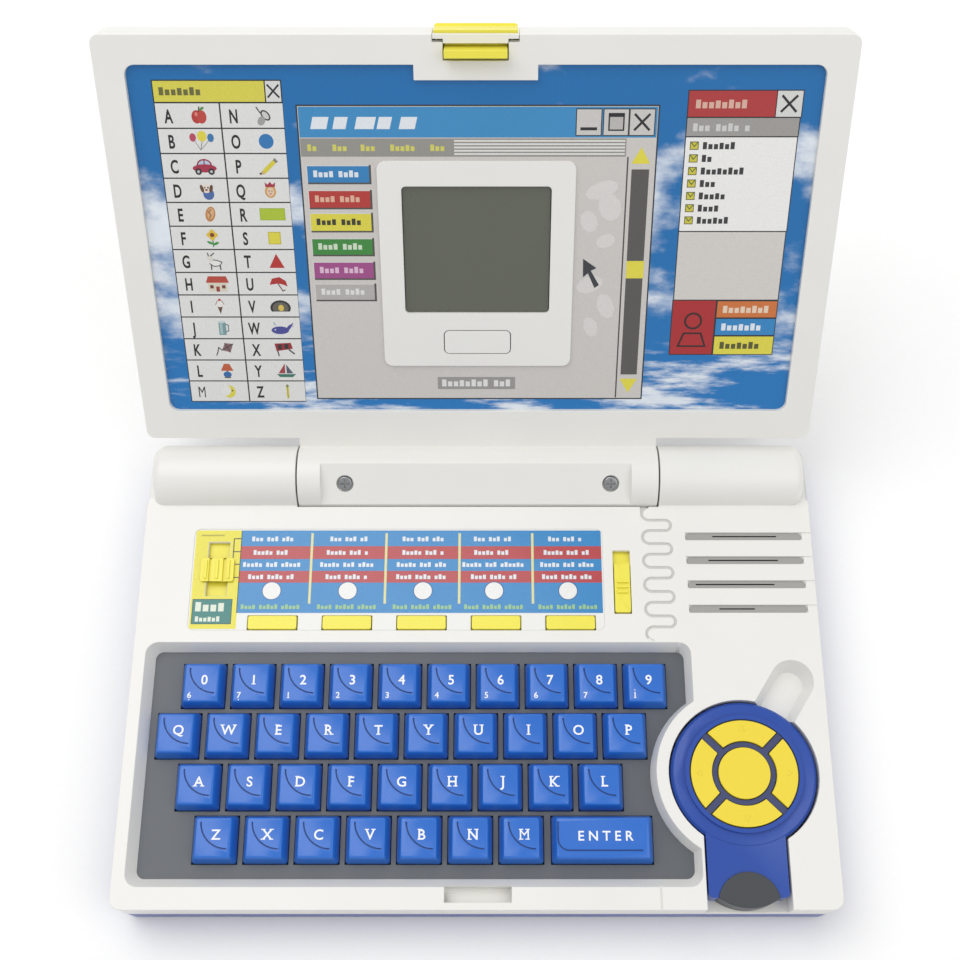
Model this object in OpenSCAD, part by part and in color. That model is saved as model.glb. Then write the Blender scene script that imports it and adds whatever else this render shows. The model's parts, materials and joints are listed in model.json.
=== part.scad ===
// Toy laptop computer with a hinged screen lid, a 37-key keyboard and a lift-out mouse.
// Origin: centre of the base's footprint, on the surface that it stands on.
// +X is the user's right, +Y points to the hinge, +Z is up. The lid is drawn open.

/* [Body] */
// Width of the base and of the lid
body_w = 250; // [248:1:252]
// Depth of the base from front edge to rear wall
body_d = 173; // [172:0.5:174]
// Height of the deck above the table
deck_z = 26; // [25.8:0.1:26.5]
// Height of the joint between the two base shells
split_z = 12; // [11.5:0.1:12]
// Height of the moulded feet
foot_h = 1.5; // [1:0.1:2]
// Wall thickness of the shells
wall = 2; // [1.8:0.1:2.2]
// Corner radius of the shells, seen from above
corner_r = 4; // [2:0.5:5]

/* [Hinge] */
// Radius of the hinge barrels
barrel_r = 12.4; // [12:0.1:12.4]
// Distance from the centre of the base back to the hinge axis
hinge_y = 74; // [73.8:0.1:74]
// Depth of the hinge axis below the deck
hinge_drop = 2.3; // [2:0.1:2.5]
// Angle from closed to fully open
open_angle = 128; // [110:1:130]
// Half the length of the lid's middle barrel
lid_barrel_x = 67.7; // [66:0.1:67.8]
// Where the base's barrels start and end, from the middle
base_barrel_x = [68.3, 122.5];
// Radius of the hinge pins
pin_r = 4; // [3:0.5:4.5]

/* [Lid] */
// Distance from the hinge axis to the lid's lower edge
lid_r0 = 15.8; // [15.6:0.1:16.5]
// Distance from the hinge axis to the lid's top edge
lid_r1 = 161; // [160.8:0.1:161.2]
// Thickness of the lid
lid_t = 13; // [12.5:0.5:14]
// Air gap between the closed lid and the deck
lid_gap = 0.3; // [0.3:0.1:0.6]
// Half width of the picture window
window_x = 115; // [112:0.5:116]
// Lower and upper edge of the picture window
window_r = [27.1, 151.6];
// Depth of the picture window below the bezel
window_depth = 1.8; // [1.2:0.1:1.8]
// Half width of the raised display frame
frame_x = 34; // [32:0.5:36]
// Lower and upper edge of the display frame
frame_r = [45, 120];
// Half width of the display opening
lcd_x = 25.8; // [25:0.1:26]
// Lower and upper edge of the display opening
lcd_r = [65.5, 111.4];
// Half width of the contrast button
contrast_x = 11.9; // [10:0.1:12]
// Lower and upper edge of the contrast button
contrast_r = [50, 58.7];

/* [Keyboard] */
// Pitch of the keys along a row
key_pitch_x = 17.8; // [17.6:0.1:18]
// Pitch of the rows
key_pitch_y = 18.4; // [18.2:0.1:18.6]
// Width of a key cap where it passes the panel
cap_w = 15.5; // [15:0.1:16.4]
// Depth of a key cap where it passes the panel
cap_d = 16.4; // [16:0.1:16.4]
// Width and depth of a key cap's top
cap_top = [11.9, 13.4];
// Width of the wide key's base
enter_w = 35.3; // [35:0.1:36.4]
// Distance from the deck down to the keyboard panel
panel_drop = 6; // [5.5:0.1:6]
// Distance that a key is pushed down
key_travel = 2; // [1.5:0.1:2]

/* [Mouse] */
// Centre of the mouse disc
mouse_c = [93.9, -40];
// Radius of the mouse disc
mouse_r = 25.7; // [25:0.1:25.8]
// Left and right side of the mouse's neck
neck_x = [79.3, 106.9];
// Outer and inner radius of the four arrow buttons
petal_r = [18.8, 11.4];
// Radius of the middle button
ok_r = 9.1; // [8.5:0.1:9.1]

/* [Label panel] */
// Left and right side of the label recess
label_x = [-106.1, 46.6];
// Front and rear edge of the label recess
label_y = [12.6, 52.2];
// Centres of the first mode button and the step to the next
mode_x = [-75.1, 27.3];
// Width and depth of a mode button
mode_size = [17.8, 5.1];
// Centre of the mode buttons, front to back
mode_y = 15.4; // [15.2:0.1:15.6]

/* [Hidden] */
KEY_ROWS = ["0123456789", "qwertyuiop", "asdfghjkl", "zxcvbnm"];

$fn = 64;
eps = 0.01;
shell_white = "#ECECE8";
key_blue = "#2F62C0";
button_yellow = "#EDE64A";

hinge_z = deck_z - hinge_drop;
half_w = body_w / 2;
half_d = body_d / 2;
trough_r = barrel_r + 0.5;
rear_sill_z = 15.5;

// Keyboard
row_x = [-99.4, -107.3, -98.6, -91.3];
row1_y = -7;
enter_x = 43.75;
hole_gap = 0.3;
panel_z = deck_z - panel_drop;
panel_t = 2;
key_top_z = deck_z - 0.6;
flange_t = 1.4;
flange_z = panel_z - panel_t - 0.2;
well_top = [-120.5, 77.6, -78.9, 8];
well_floor = [-117.4, 75.2, -74.9, 5.4];
ring_r = [30.6, 32.5];

// Mouse well and its finger scoop
mouse_gap = 0.75;
mouse_floor_z = 16;
mouse_top_z = deck_z - 0.4;
scoop_a = [103, -23];
scoop_b = [113.5, -6.5];
scoop_r = [7.8, 5];
scoop_z = deck_z - 7;
rib_w = 3;

// Switches on the deck
slider_c = [-96.6, 35.75];
slider_slot = [-100.5, -92.7, 25.9, 47];
switch_slot = [50.3, 56.7, 18.9, 43.6];
switch_knob = [50.6, 56.4, 19.3, 38.7];

// Speaker openings
louvre_x = [77.8, 121.4];
louvre_y = 20.8;
louvre_pitch = 9.5;
louvre_w = 3;
speaker_c = [99.6, 35];

// Catch slot for the lid's hook
catch_x = [-11, 12];
catch_y = [-84, -78.6];

// Fasteners and batteries
screw_xy = [for (x = [-118, 118]) for (y = [-81, 12, 57]) [x, y]];
boss_r = 3.6;
screw_r = 1.4;
bay = [-67.5, -12.5, 17.2, 62.2];
cell_r = 7.25;
cell_l = 50.5;
door_screw = [-40, 12.6];
board_z = split_z + 0.1;
board_t = 1.6;

// Lid cross-section: r runs up the lid, t is the height over the plane through the hinge axis
face_t = -(hinge_drop + lid_gap);
back_t = face_t - lid_t;
seam_t = face_t - 5.5;
sheet_t = face_t - window_depth;
plate_t = sheet_t - 1.8;
frame_t = sheet_t + 1;
latch_x = 10.3;
latch_pivot = [156.5, -10];
flat_depth = 9.6;
flat_angle = 16;
flat_x = [-59, 57.5];

// Box with rounded upright edges between [x0, x1, y0, y1] and z0, z1
module rbox(b, z0, z1, r) {
    translate([b[0] + r, b[2], z0]) cube([b[1] - b[0] - 2 * r, b[3] - b[2], z1 - z0]);
    translate([b[0], b[2] + r, z0]) cube([b[1] - b[0], b[3] - b[2] - 2 * r, z1 - z0]);
    for (x = [b[0] + r, b[1] - r], y = [b[2] + r, b[3] - r])
        translate([x, y, z0]) cylinder(h = z1 - z0, r = r);
}

// Plain box between [x0, x1, y0, y1] and z0, z1
module box(b, z0, z1) {
    translate([b[0], b[2], z0]) cube([b[1] - b[0], b[3] - b[2], z1 - z0]);
}

// Box grown by d on every upright side
function grown(b, d) = [b[0] - d, b[1] + d, b[2] - d, b[3] + d];

// Cylinder along X between x0 and x1, on the hinge axis
module axis_cylinder(x0, x1, r) {
    translate([x0, hinge_y, hinge_z]) rotate([0, 90, 0]) cylinder(h = x1 - x0, r = r);
}

// Places the lid's own frame (x, r, t) at its open position
module in_lid() {
    translate([0, hinge_y, hinge_z]) rotate([180 - open_angle, 0, 0]) children();
}

// Straight-sided slot with round ends from a to b
module obround(a, b, r, z0, z1) {
    len = norm(b - a);
    for (p = [a, b]) translate([p[0], p[1], z0]) cylinder(h = z1 - z0, r = r);
    translate([a[0], a[1], z0]) rotate([0, 0, atan2(b[1] - a[1], b[0] - a[0])])
        translate([0, -r, 0]) cube([len, 2 * r, z1 - z0]);
}

// ---------------------------------------------------------------- base shells

// Half barrel with a rounded outer end, for one side of the base
module base_barrel() {
    len = base_barrel_x[1] - base_barrel_x[0];
    end_r = 4;
    translate([base_barrel_x[0], hinge_y, hinge_z]) rotate([0, 90, 0]) {
        cylinder(h = len - end_r, r = barrel_r);
        translate([0, 0, len - end_r]) cylinder(h = end_r, r = barrel_r - end_r);
        translate([0, 0, len - end_r]) rotate_extrude()
            translate([barrel_r - end_r, 0]) intersection() {
                circle(r = end_r);
                square(end_r + 1);
            }
    }
}

module top_outer() {
    rbox([-half_w, half_w, -half_d, hinge_y - 8], split_z, deck_z, corner_r);
    box([-half_w, half_w, -half_d + 2 * corner_r, hinge_y - sqrt(pow(barrel_r, 2) - pow(hinge_drop, 2))],
        split_z, deck_z);
    rbox([-half_w, half_w, 50, half_d], split_z, hinge_z, corner_r);
    for (m = [0, 1]) mirror([m, 0, 0]) base_barrel();
}

module top_hollow() {
    box([-half_w + wall, half_w - wall, -half_d + wall, 64], split_z - 1, deck_z - wall);
    for (m = [0, 1]) mirror([m, 0, 0]) {
        box([83, half_w - wall, 63, half_d - wall], split_z - 1, hinge_z - 1);
        axis_cylinder(83, 119, barrel_r - wall);
    }
}

// Wall around the keyboard opening, with sloping sides down to the panel
module keyboard_well() {
    box(grown(well_top, 1.6), panel_z, deck_z - wall + eps);
}

module keyboard_opening() {
    difference() {
        hull() {
            rbox(well_top, deck_z, deck_z + 1, 4.5, $fn = 32);
            rbox(well_floor, panel_z - 1, panel_z, 2.5, $fn = 32);
        }
        translate([mouse_c[0], mouse_c[1], panel_z - 1.5])
            cylinder(h = panel_drop + 3, r1 = ring_r[1] + 0.3, r2 = ring_r[0] - 0.3);
    }
}

// Recess that the mouse lies in, open to the front
module mouse_recess(gap, z0, z1) {
    translate([mouse_c[0], mouse_c[1], z0]) cylinder(h = z1 - z0, r = mouse_r + gap);
    box([neck_x[0] - gap, neck_x[1] + gap, -half_d - 1, mouse_c[1]], z0, z1);
}

module mouse_well() {
    intersection() {
        mouse_recess(mouse_gap + wall, mouse_floor_z - 1.7, deck_z - wall + eps);
        box([-half_w, half_w, -half_d, half_d], 0, deck_z);
    }
    obround(scoop_a, scoop_b, scoop_r[1] + 3.5, scoop_z - 1.6, deck_z - wall + eps);
}

module scoop_cut() {
    hull() for (p = [scoop_a, scoop_b])
        translate([p[0], p[1], scoop_z])
            cylinder(h = deck_z - scoop_z + eps, r1 = scoop_r[1], r2 = scoop_r[0], $fn = 32);
}

// Clearance for the lid's middle barrel
module trough_wall() {
    intersection() {
        axis_cylinder(-base_barrel_x[0] - eps, base_barrel_x[0] + eps, trough_r + 1.8);
        union() {
            box([-90, 90, 56, hinge_y], 5, deck_z);
            box([-90, 90, hinge_y - 1, half_d], 5, rear_sill_z);
        }
    }
}

module trough_cut() {
    axis_cylinder(-base_barrel_x[0], base_barrel_x[0], trough_r);
    box([-base_barrel_x[0], base_barrel_x[0], hinge_y, half_d + 1], rear_sill_z, deck_z + 20);
}

module louvres() {
    len = louvre_x[1] - louvre_x[0];
    for (i = [0:3]) translate([louvre_x[0], louvre_y + i * louvre_pitch, 0]) {
        translate([0, -louvre_w / 2, deck_z - 1]) cube([len, louvre_w, 2]);
        translate([3, -0.9, deck_z - wall - 1]) cube([len - 6, 1.6, 4]);
        translate([len - eps, louvre_w / 2 - 0.5, deck_z - 0.5]) cube([4, 0.5, 1]);
    }
}

// Shallow winding groove between the label and the speaker
module meander() {
    groove = 1;
    depth = 0.6;
    pitch = 9.45;
    finger = 2.1;
    bend = pitch / 2 - finger;
    x0 = 64.4;
    x1 = 70.4;
    top_y = 55.8;
    z = deck_z - depth;
    for (i = [0:4]) translate([0, top_y - i * pitch, z]) {
        for (y = [0, -2 * finger])
            translate([x0, y - groove / 2, 0]) cube([x1 - x0, groove, 2]);
        translate([x1, -finger, 0]) half_ring(finger, groove, 1);
        translate([x0, -2 * finger - bend, 0]) half_ring(bend, groove, -1);
    }
    translate([x0, top_y + bend, z]) half_ring(bend, groove, -1);
    translate([x0 - bend - groove / 2, top_y + bend, z]) cube([groove, 3, 2]);
}

// Half of a flat ring: side 1 is its right half, side -1 its left half
module half_ring(r, w, side) {
    intersection() {
        difference() {
            cylinder(h = 2, r = r + w / 2);
            translate([0, 0, -1]) cylinder(h = 4, r = r - w / 2);
        }
        translate([side > 0 ? 0 : -10, -10, -1]) cube([10, 20, 4]);
    }
}

module deck_openings() {
    rbox([label_x[0], label_x[1], label_y[0], label_y[1]], deck_z - 0.4, deck_z + 1, 2.5);
    for (i = [0:4])
        translate([mode_x[0] + i * mode_x[1] - mode_size[0] / 2 - 0.3,
                   mode_y - mode_size[1] / 2 - 0.3, deck_z - 5])
            cube([mode_size[0] + 0.6, mode_size[1] + 0.6, 8]);
    box(slider_slot, deck_z - 5, deck_z + 1);
    box(switch_slot, deck_z - 5, deck_z + 1);
    box([catch_x[0], catch_x[1], catch_y[0], catch_y[1]], deck_z - 5, deck_z + 1);
    box([62.7, 63.3, -half_d - 1, well_top[2] + 1], deck_z - 0.6, deck_z + 1);
    louvres();
    meander();
}

module top_bosses() {
    for (p = screw_xy) translate([p[0], p[1], split_z]) cylinder(h = 12, r = boss_r);
}

module base_top_shell() color(shell_white) {
    difference() {
        union() {
            difference() {
                top_outer();
                top_hollow();
                box([-base_barrel_x[0], base_barrel_x[0], hinge_y - 11, half_d + 1],
                    rear_sill_z, deck_z + 20);
            }
            keyboard_well();
            mouse_well();
            trough_wall();
            top_bosses();
        }
        keyboard_opening();
        mouse_recess(mouse_gap, mouse_floor_z, deck_z + 20);
        scoop_cut();
        trough_cut();
        deck_openings();
        for (p = screw_xy) translate([p[0], p[1], 0]) cylinder(h = 20.5, r = screw_r + 0.05);
        for (m = [0, 1]) mirror([m, 0, 0])
            axis_cylinder(base_barrel_x[0] - 1, base_barrel_x[0] + 10.5, pin_r + 0.08);
    }
}

module base_bottom_shell() color("#2A4FB5") {
    floor_z = foot_h + wall;
    difference() {
        union() {
            difference() {
                rbox([-half_w, half_w, -half_d, half_d], foot_h, split_z, corner_r);
                rbox([-half_w + wall, half_w - wall, -half_d + wall, half_d - wall],
                     floor_z, split_z + 1, corner_r - wall);
            }
            for (x = [-112, 112], y = [-74, 74]) translate([x, y, 0]) cylinder(h = foot_h + 1, r = 6);
            cylinder(h = foot_h + 1, r = 6);
            box(grown(bay, 1.2), foot_h, split_z - 1);
            for (p = screw_xy) translate([p[0], p[1], foot_h])
                cylinder(h = split_z - foot_h - 0.1, r = boss_r);
            translate([door_screw[0], door_screw[1], foot_h]) cylinder(h = 8, r = boss_r);
            for (x = [-108, 0, 66], y = [-66, -2]) translate([x, y, foot_h + 1])
                cylinder(h = board_z - foot_h - 1.1, r = 3);
        }
        box(bay, 0, split_z);
        box([door_screw[0] - 5, door_screw[0] + 5, 8, bay[2] + 1], 0, foot_h + 1.3);
        for (p = screw_xy) translate([p[0], p[1], 0]) {
            cylinder(h = foot_h + 2, r = 3);
            cylinder(h = 20, r = screw_r + 0.2);
        }
        translate([door_screw[0], door_screw[1], 0]) cylinder(h = 8.5, r = screw_r + 0.05);
    }
}

module battery_door() color("#2A4FB5") {
    difference() {
        union() {
            box(grown(bay, -0.25), foot_h, foot_h + 1.8);
            box([door_screw[0] - 4.7, door_screw[0] + 4.7, 8.3, bay[2] + 1], foot_h, foot_h + 1.2);
        }
        translate([door_screw[0], door_screw[1], 0]) cylinder(h = 6, r = screw_r + 0.2);
        translate([door_screw[0], door_screw[1], 0]) cylinder(h = foot_h + 0.6, r = 3);
        for (i = [-2:2]) translate([-40 + i * 4 - 0.5, 50, foot_h - 0.5]) cube([1, 9, 1]);
    }
}

module battery_cells() color("#B9BCC2") {
    for (i = [0:2]) translate([-40, 25 + i * 14.7, foot_h + 1.8 + 0.5 + cell_r]) rotate([0, 90, 0]) {
        translate([0, 0, -cell_l / 2]) cylinder(h = cell_l - 1, r = cell_r);
        translate([0, 0, cell_l / 2 - 1]) cylinder(h = 1, r = 2.75);
    }
}

// One pan-head screw, head down, with its thread standing up from z
module screw(z, len) {
    difference() {
        union() {
            translate([0, 0, z]) cylinder(h = 1.6, r = 2.7);
            translate([0, 0, z]) cylinder(h = len, r = screw_r);
        }
        for (a = [0, 90]) rotate([0, 0, a]) translate([-1.6, -0.4, z - 1]) cube([3.2, 0.8, 2]);
    }
}

module base_screws() color("#9A9CA0") {
    for (p = screw_xy) translate([p[0], p[1], 0]) screw(foot_h + 0.3, 16);
    translate([door_screw[0], door_screw[1], 0]) screw(foot_h - 1.05, 7);
}

// ---------------------------------------------------------------- inside the base

module keyboard_panel() color("#5E6266") {
    difference() {
        rbox(grown(well_floor, 1.4), panel_z - panel_t, panel_z - eps, 2);
        mouse_recess(mouse_gap + wall + 0.3, 0, deck_z);
        for (r = [0:3], i = [0:len(KEY_ROWS[r]) - 1]) key_hole(key_xy(r, i), cap_w);
        key_hole([enter_x, row_y(3)], enter_w);
    }
}

module key_hole(p, w) {
    size = [w, cap_d] + [2 * hole_gap, 2 * hole_gap];
    translate([p[0] - size[0] / 2, p[1] - size[1] / 2, panel_z - panel_t - 1])
        cube([size[0], size[1], panel_t + 2]);
}

module main_board() color("#1F7A4B") {
    difference() {
        box([-113.6, 74, -77, 14.6], board_z, board_z + board_t);
        mouse_recess(mouse_gap + wall + 1, 0, deck_z);
    }
    for (r = [0:3], i = [0:len(KEY_ROWS[r]) - 1]) key_pad(key_xy(r, i));
    key_pad([enter_x, row_y(3)]);
}

// Low rubber pad under one key
module key_pad(p) {
    translate([p[0], p[1], board_z + board_t - eps]) cylinder(h = 0.5, r = 4);
}

module speaker() color("#2B2D30") {
    translate([speaker_c[0], speaker_c[1], 0]) {
        difference() {
            union() {
                translate([0, 0, 21.5]) cylinder(h = 2, r = 18);
                translate([0, 0, 16.5]) cylinder(h = 5.1, r1 = 9, r2 = 15.5);
            }
            translate([0, 0, 18.5]) cylinder(h = 6, r1 = 7, r2 = 15.5);
        }
        translate([0, 0, 12.5]) cylinder(h = 4.1, r = 9);
        translate([0, 0, 18.4]) cylinder(h = 1.5, r = 5);
    }
}

// ---------------------------------------------------------------- keys

function row_y(r) = row1_y - r * key_pitch_y;
function key_xy(r, i) = [row_x[r] + i * key_pitch_x, row_y(r)];

// Tapered cap of base width w, with lips front and back that hold it under the panel
module key_cap(p, w) color(key_blue) {
    taper = cap_w - cap_top[0];
    translate([p[0], p[1], 0]) {
        hull() {
            cap_slab(w, cap_d, flange_z, flange_z + 3, 1);
            cap_slab(w - 0.6 * taper, cap_d - 1.8, key_top_z - 1.2, key_top_z - 1.1, 1.4);
            cap_slab(w - 0.8 * taper, cap_d - 2.3, key_top_z - 0.5, key_top_z - 0.45, 1.4);
            cap_slab(w - taper, cap_top[1], key_top_z - 0.1, key_top_z, 1.2);
        }
        box([-w / 2 + 0.5, w / 2 - 0.5, -cap_d / 2 - 0.65, cap_d / 2 + 0.65],
            flange_z - flange_t, flange_z);
        box([-w / 2 + 1, w / 2 - 1, -cap_d / 2 + 1, cap_d / 2 - 1], flange_z - eps, flange_z + eps);
    }
}

module cap_slab(w, d, z0, z1, r) {
    rbox([-w / 2, w / 2, -d / 2, d / 2], z0, z1, r, $fn = 16);
}

module mode_button(i) color(button_yellow) {
    c = mode_x[0] + (i - 1) * mode_x[1];
    size = mode_size / 2;
    rbox([c - size[0], c + size[0], mode_y - size[1], mode_y + size[1]], deck_z - 4, deck_z + 0.5, 0.8);
    box([c - size[0] - 0.8, c + size[0] + 0.8, mode_y - size[1] - 0.6, mode_y + size[1] + 0.6],
        deck_z - 4, deck_z - wall - 0.3);
    box([c - 2, c + 2, mode_y - 2.4, mode_y - 0.9], board_z + board_t + 2.2, deck_z - 3.9);
}

// ---------------------------------------------------------------- switches on the deck

module level_slider() color(button_yellow) {
    translate([slider_c[0], slider_c[1], 0]) {
        difference() {
            rbox([-6.2, 6.2, -4.6, 4.6], deck_z - 0.1, deck_z + 0.9, 1);
            for (x = [-2.6, 2.6]) translate([x, 0, deck_z + 0.5]) cube([1, 12, 1], center = true);
        }
        for (x = [-4.2, 0, 4.2]) box([x - 0.5, x + 0.5, -3.6, 3.6], deck_z + 0.8, deck_z + 1.5);
        box([-3.6, 3.6, -3, 3], deck_z - 4, deck_z);
        box([-6, 6, -4, 4], deck_z - 4.2, deck_z - wall - 0.3);
    }
}

module power_switch() color(button_yellow) {
    mid = (switch_knob[2] + switch_knob[3]) / 2;
    rbox(switch_knob, deck_z - 3, deck_z + 0.4, 0.8);
    for (d = [-2, 0, 2])
        box([switch_knob[0] + 0.8, switch_knob[1] - 0.8, mid + d - 0.4, mid + d + 0.4],
            deck_z + 0.3, deck_z + 1.3);
    box([switch_knob[0] - 1.8, switch_knob[1] + 1.8, switch_knob[2] + 1, switch_knob[3] - 1],
        deck_z - 4, deck_z - wall - 0.3);
}

// ---------------------------------------------------------------- mouse

mouse_base_z = mouse_floor_z + 0.1;
cavity_z = [mouse_base_z + 1.6, deck_z - 3.6];

// Ring sector openings for the arrow buttons, grown by gap
module petals(gap, z0, z1) {
    difference() {
        translate([0, 0, z0]) cylinder(h = z1 - z0, r = petal_r[0] + gap);
        translate([0, 0, z0 - 1]) cylinder(h = z1 - z0 + 2, r = petal_r[1] - gap);
        for (a = [45, 135]) rotate([0, 0, a])
            translate([-30, -rib_w / 2 + gap, z0 - 1]) cube([60, rib_w - 2 * gap, z1 - z0 + 2]);
    }
}

module mouse_shell() color("#2B46A4") {
    difference() {
        union() {
            translate([mouse_c[0], mouse_c[1], mouse_base_z])
                cylinder(h = mouse_top_z - mouse_base_z - 1, r = mouse_r);
            translate([mouse_c[0], mouse_c[1], mouse_top_z - 1 - eps])
                cylinder(h = 1 + eps, r1 = mouse_r, r2 = mouse_r - 1);
            translate([mouse_c[0], mouse_c[1], mouse_base_z])
                cylinder(h = deck_z + 0.8 - mouse_base_z, r = petal_r[0] + 2);
            rbox([neck_x[0], neck_x[1], -half_d + 4.1, mouse_c[1]], mouse_base_z, mouse_top_z - 0.3, 1.5);
            mouse_nose();
        }
        translate([mouse_c[0], mouse_c[1], 0]) {
            translate([0, 0, cavity_z[0]]) cylinder(h = cavity_z[1] - cavity_z[0], r = petal_r[0] + 0.8);
            petals(0.3, cavity_z[1] - 1, deck_z + 2);
            translate([0, 0, cavity_z[1] - 1]) cylinder(h = 8, r = ok_r + 0.3);
            translate([0, 0, deck_z + 0.2]) cylinder(h = 2, r = petal_r[0] + 0.5);
        }
    }
}

// Rubber nose that stands a little over the front edge
module mouse_nose() {
    nose_c = [(neck_x[0] + neck_x[1]) / 2, -half_d + 4.5];
    intersection() {
        translate([nose_c[0], nose_c[1], mouse_base_z])
            cylinder(h = mouse_top_z - mouse_base_z, r = 10.6);
        box([70, 120, -half_d + 0.6, nose_c[1] + 11], 0, deck_z);
    }
}

module mouse_arrow_pad() color("#EBD23F") {
    translate([mouse_c[0], mouse_c[1], 0]) {
        petals(0, cavity_z[1] - 2, deck_z + 1);
        difference() {
            translate([0, 0, cavity_z[1] - 2]) cylinder(h = 1.7, r = petal_r[0]);
            translate([0, 0, 0]) cylinder(h = 40, r = petal_r[1] - 0.1);
        }
    }
}

module mouse_ok_button() color("#EBD23F") {
    translate([mouse_c[0], mouse_c[1], 0]) {
        translate([0, 0, cavity_z[1] - 2]) cylinder(h = deck_z + 1 - cavity_z[1] + 2, r = ok_r);
        translate([0, 0, cavity_z[1] - 2]) cylinder(h = 1.7, r = ok_r + 1.6);
    }
}

// ---------------------------------------------------------------- lid

// Solid outline of the lid between two heights t
module lid_block(t0, t1) {
    rbox([-half_w, half_w, lid_r0, lid_r1], t0, t1, 3);
}

// Middle barrel and the web that joins it to the lid
module lid_barrel() {
    rotate([0, 90, 0]) translate([0, 0, -lid_barrel_x]) cylinder(h = 2 * lid_barrel_x, r = barrel_r);
    rotate([90, 0, 90]) translate([0, 0, -lid_barrel_x]) linear_extrude(2 * lid_barrel_x)
        polygon([[-1, face_t], [-1, -barrel_r + 0.2], [lid_r0 + 1, back_t], [lid_r0 + 1, face_t]]);
}

// Space inside the lid and inside its barrel
module lid_hollow() {
    box([-half_w + wall, half_w - wall, lid_r0 + wall, lid_r1 - wall], back_t + wall, plate_t);
    box([-lid_barrel_x + wall, lid_barrel_x - wall, 0, lid_r0 + wall + 1], back_t + 4.4, plate_t);
    rotate([0, 90, 0]) translate([0, 0, -lid_barrel_x + wall])
        cylinder(h = 2 * (lid_barrel_x - wall), r = flat_depth - wall);
}

// Flat recess along the barrel, with its two screw holes
module barrel_flat() {
    rotate([-flat_angle, 0, 0]) {
        translate([flat_x[0], -barrel_r, flat_depth])
            cube([flat_x[1] - flat_x[0], 2 * barrel_r, barrel_r]);
        for (x = [-50, 50]) translate([x, 0, flat_depth - 1.6]) cylinder(h = 3, r = 3.2);
    }
}

// Opening that the latch passes through
module latch_opening() {
    box([-latch_x - 0.4, latch_x + 0.4, 152.9, lid_r1 + 1], back_t + wall, face_t + 1);
    box([-14.2, 14.2, 158.6, lid_r1 + 1], back_t - 1, face_t + 1);
}

module lid_front_shell() color(shell_white) in_lid() {
    difference() {
        union() {
            difference() {
                union() {
                    lid_block(seam_t, face_t);
                    intersection() {
                        lid_barrel();
                        box([-100, 100, -50, lid_r0 + 5], seam_t, 50);
                    }
                }
                rbox([-window_x, window_x, window_r[0], window_r[1]], sheet_t, 0, 3.5);
            }
            rbox([-frame_x, frame_x, frame_r[0], frame_r[1]], sheet_t - eps, frame_t, 3);
            box([-20.4, 20.4, 146.7, window_r[1] + 1], sheet_t - eps, face_t);
        }
        lid_hollow();
        barrel_flat();
        rbox([-lcd_x, lcd_x, lcd_r[0], lcd_r[1]], plate_t - 1, 0, 1.5);
        rbox(grown([-contrast_x, contrast_x, contrast_r[0], contrast_r[1]], 0.3), plate_t - 1, 0, 2);
        latch_opening();
    }
    hinge_pins();
}

// Stub pins at both ends of the lid's barrel
module hinge_pins() {
    for (m = [0, 1]) mirror([m, 0, 0])
        rotate([0, 90, 0]) translate([0, 0, lid_barrel_x - 1]) cylinder(h = 10.5, r = pin_r);
}

module lid_back_shell() color(shell_white) in_lid() {
    difference() {
        union() {
            lid_block(back_t, seam_t - 0.02);
            intersection() {
                lid_barrel();
                box([-100, 100, -50, lid_r0 + 5], back_t - 1, seam_t - 0.02);
            }
        }
        lid_hollow();
        latch_opening();
    }
    for (m = [0, 1]) mirror([m, 0, 0]) latch_ear();
}

// Ear that holds one of the latch's pins
module latch_ear() {
    difference() {
        box([latch_x + 0.5, latch_x + 3, 153.5, 158.5], back_t + wall - eps, seam_t - 0.4);
        translate([0, latch_pivot[0], latch_pivot[1]]) rotate([0, 90, 0]) cylinder(h = 30, r = 1.28);
    }
}

module lid_latch() color(button_yellow) in_lid() {
    rbox([-13.8, 13.8, 159.9, 162.4], back_t + 0.6, face_t - 0.4, 1);
    box([-latch_x, latch_x, 155, 160], latch_pivot[1] - 2, -5.5);
    box([-latch_x, latch_x, 153.6, 157], -6, face_t + 4.5);
    box([-latch_x, latch_x, 157, 160.5], -6, face_t - 1.6);
    for (m = [0, 1]) mirror([m, 0, 0]) translate([0, latch_pivot[0], latch_pivot[1]])
        rotate([0, 90, 0]) cylinder(h = latch_x + 2.5, r = 1.2);
}

module lcd_module() color("#66695C") in_lid() {
    rbox([-lcd_x + 0.2, lcd_x - 0.2, lcd_r[0] + 0.2, lcd_r[1] - 0.2], plate_t - 0.5, sheet_t - 0.2, 1.3);
    box([-32, 32, 60.5, 117], plate_t - 3.2, plate_t - 0.1);
}

module contrast_button() color(shell_white) in_lid() {
    rbox([-contrast_x, contrast_x, contrast_r[0], contrast_r[1]], plate_t - 1.6, frame_t, 1.7);
    box(grown([-contrast_x, contrast_x, contrast_r[0], contrast_r[1]], 1.2),
        plate_t - 1.8, plate_t - 0.3);
}

// ---------------------------------------------------------------- assembly

base_top_shell();
base_bottom_shell();
keyboard_panel();
main_board();
speaker();
battery_door();
battery_cells();
base_screws();
level_slider();
power_switch();
mouse_shell();
mouse_arrow_pad();
mouse_ok_button();
lid_front_shell();
lid_back_shell();
lcd_module();
contrast_button();
lid_latch();
for (i = [1:5])
    mode_button(i);
for (r = [0:3], i = [0:len(KEY_ROWS[r]) - 1])
    key_cap(key_xy(r, i), cap_w);
key_cap([enter_x, row_y(3)], enter_w);  // key_enter
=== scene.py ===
"""Finished surfaces of a toy laptop computer, built around its fixed frame."""

import json
import math

import bmesh
import bpy
from bpy.props import FloatProperty, FloatVectorProperty, PointerProperty
from mathutils import Matrix, Vector


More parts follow.
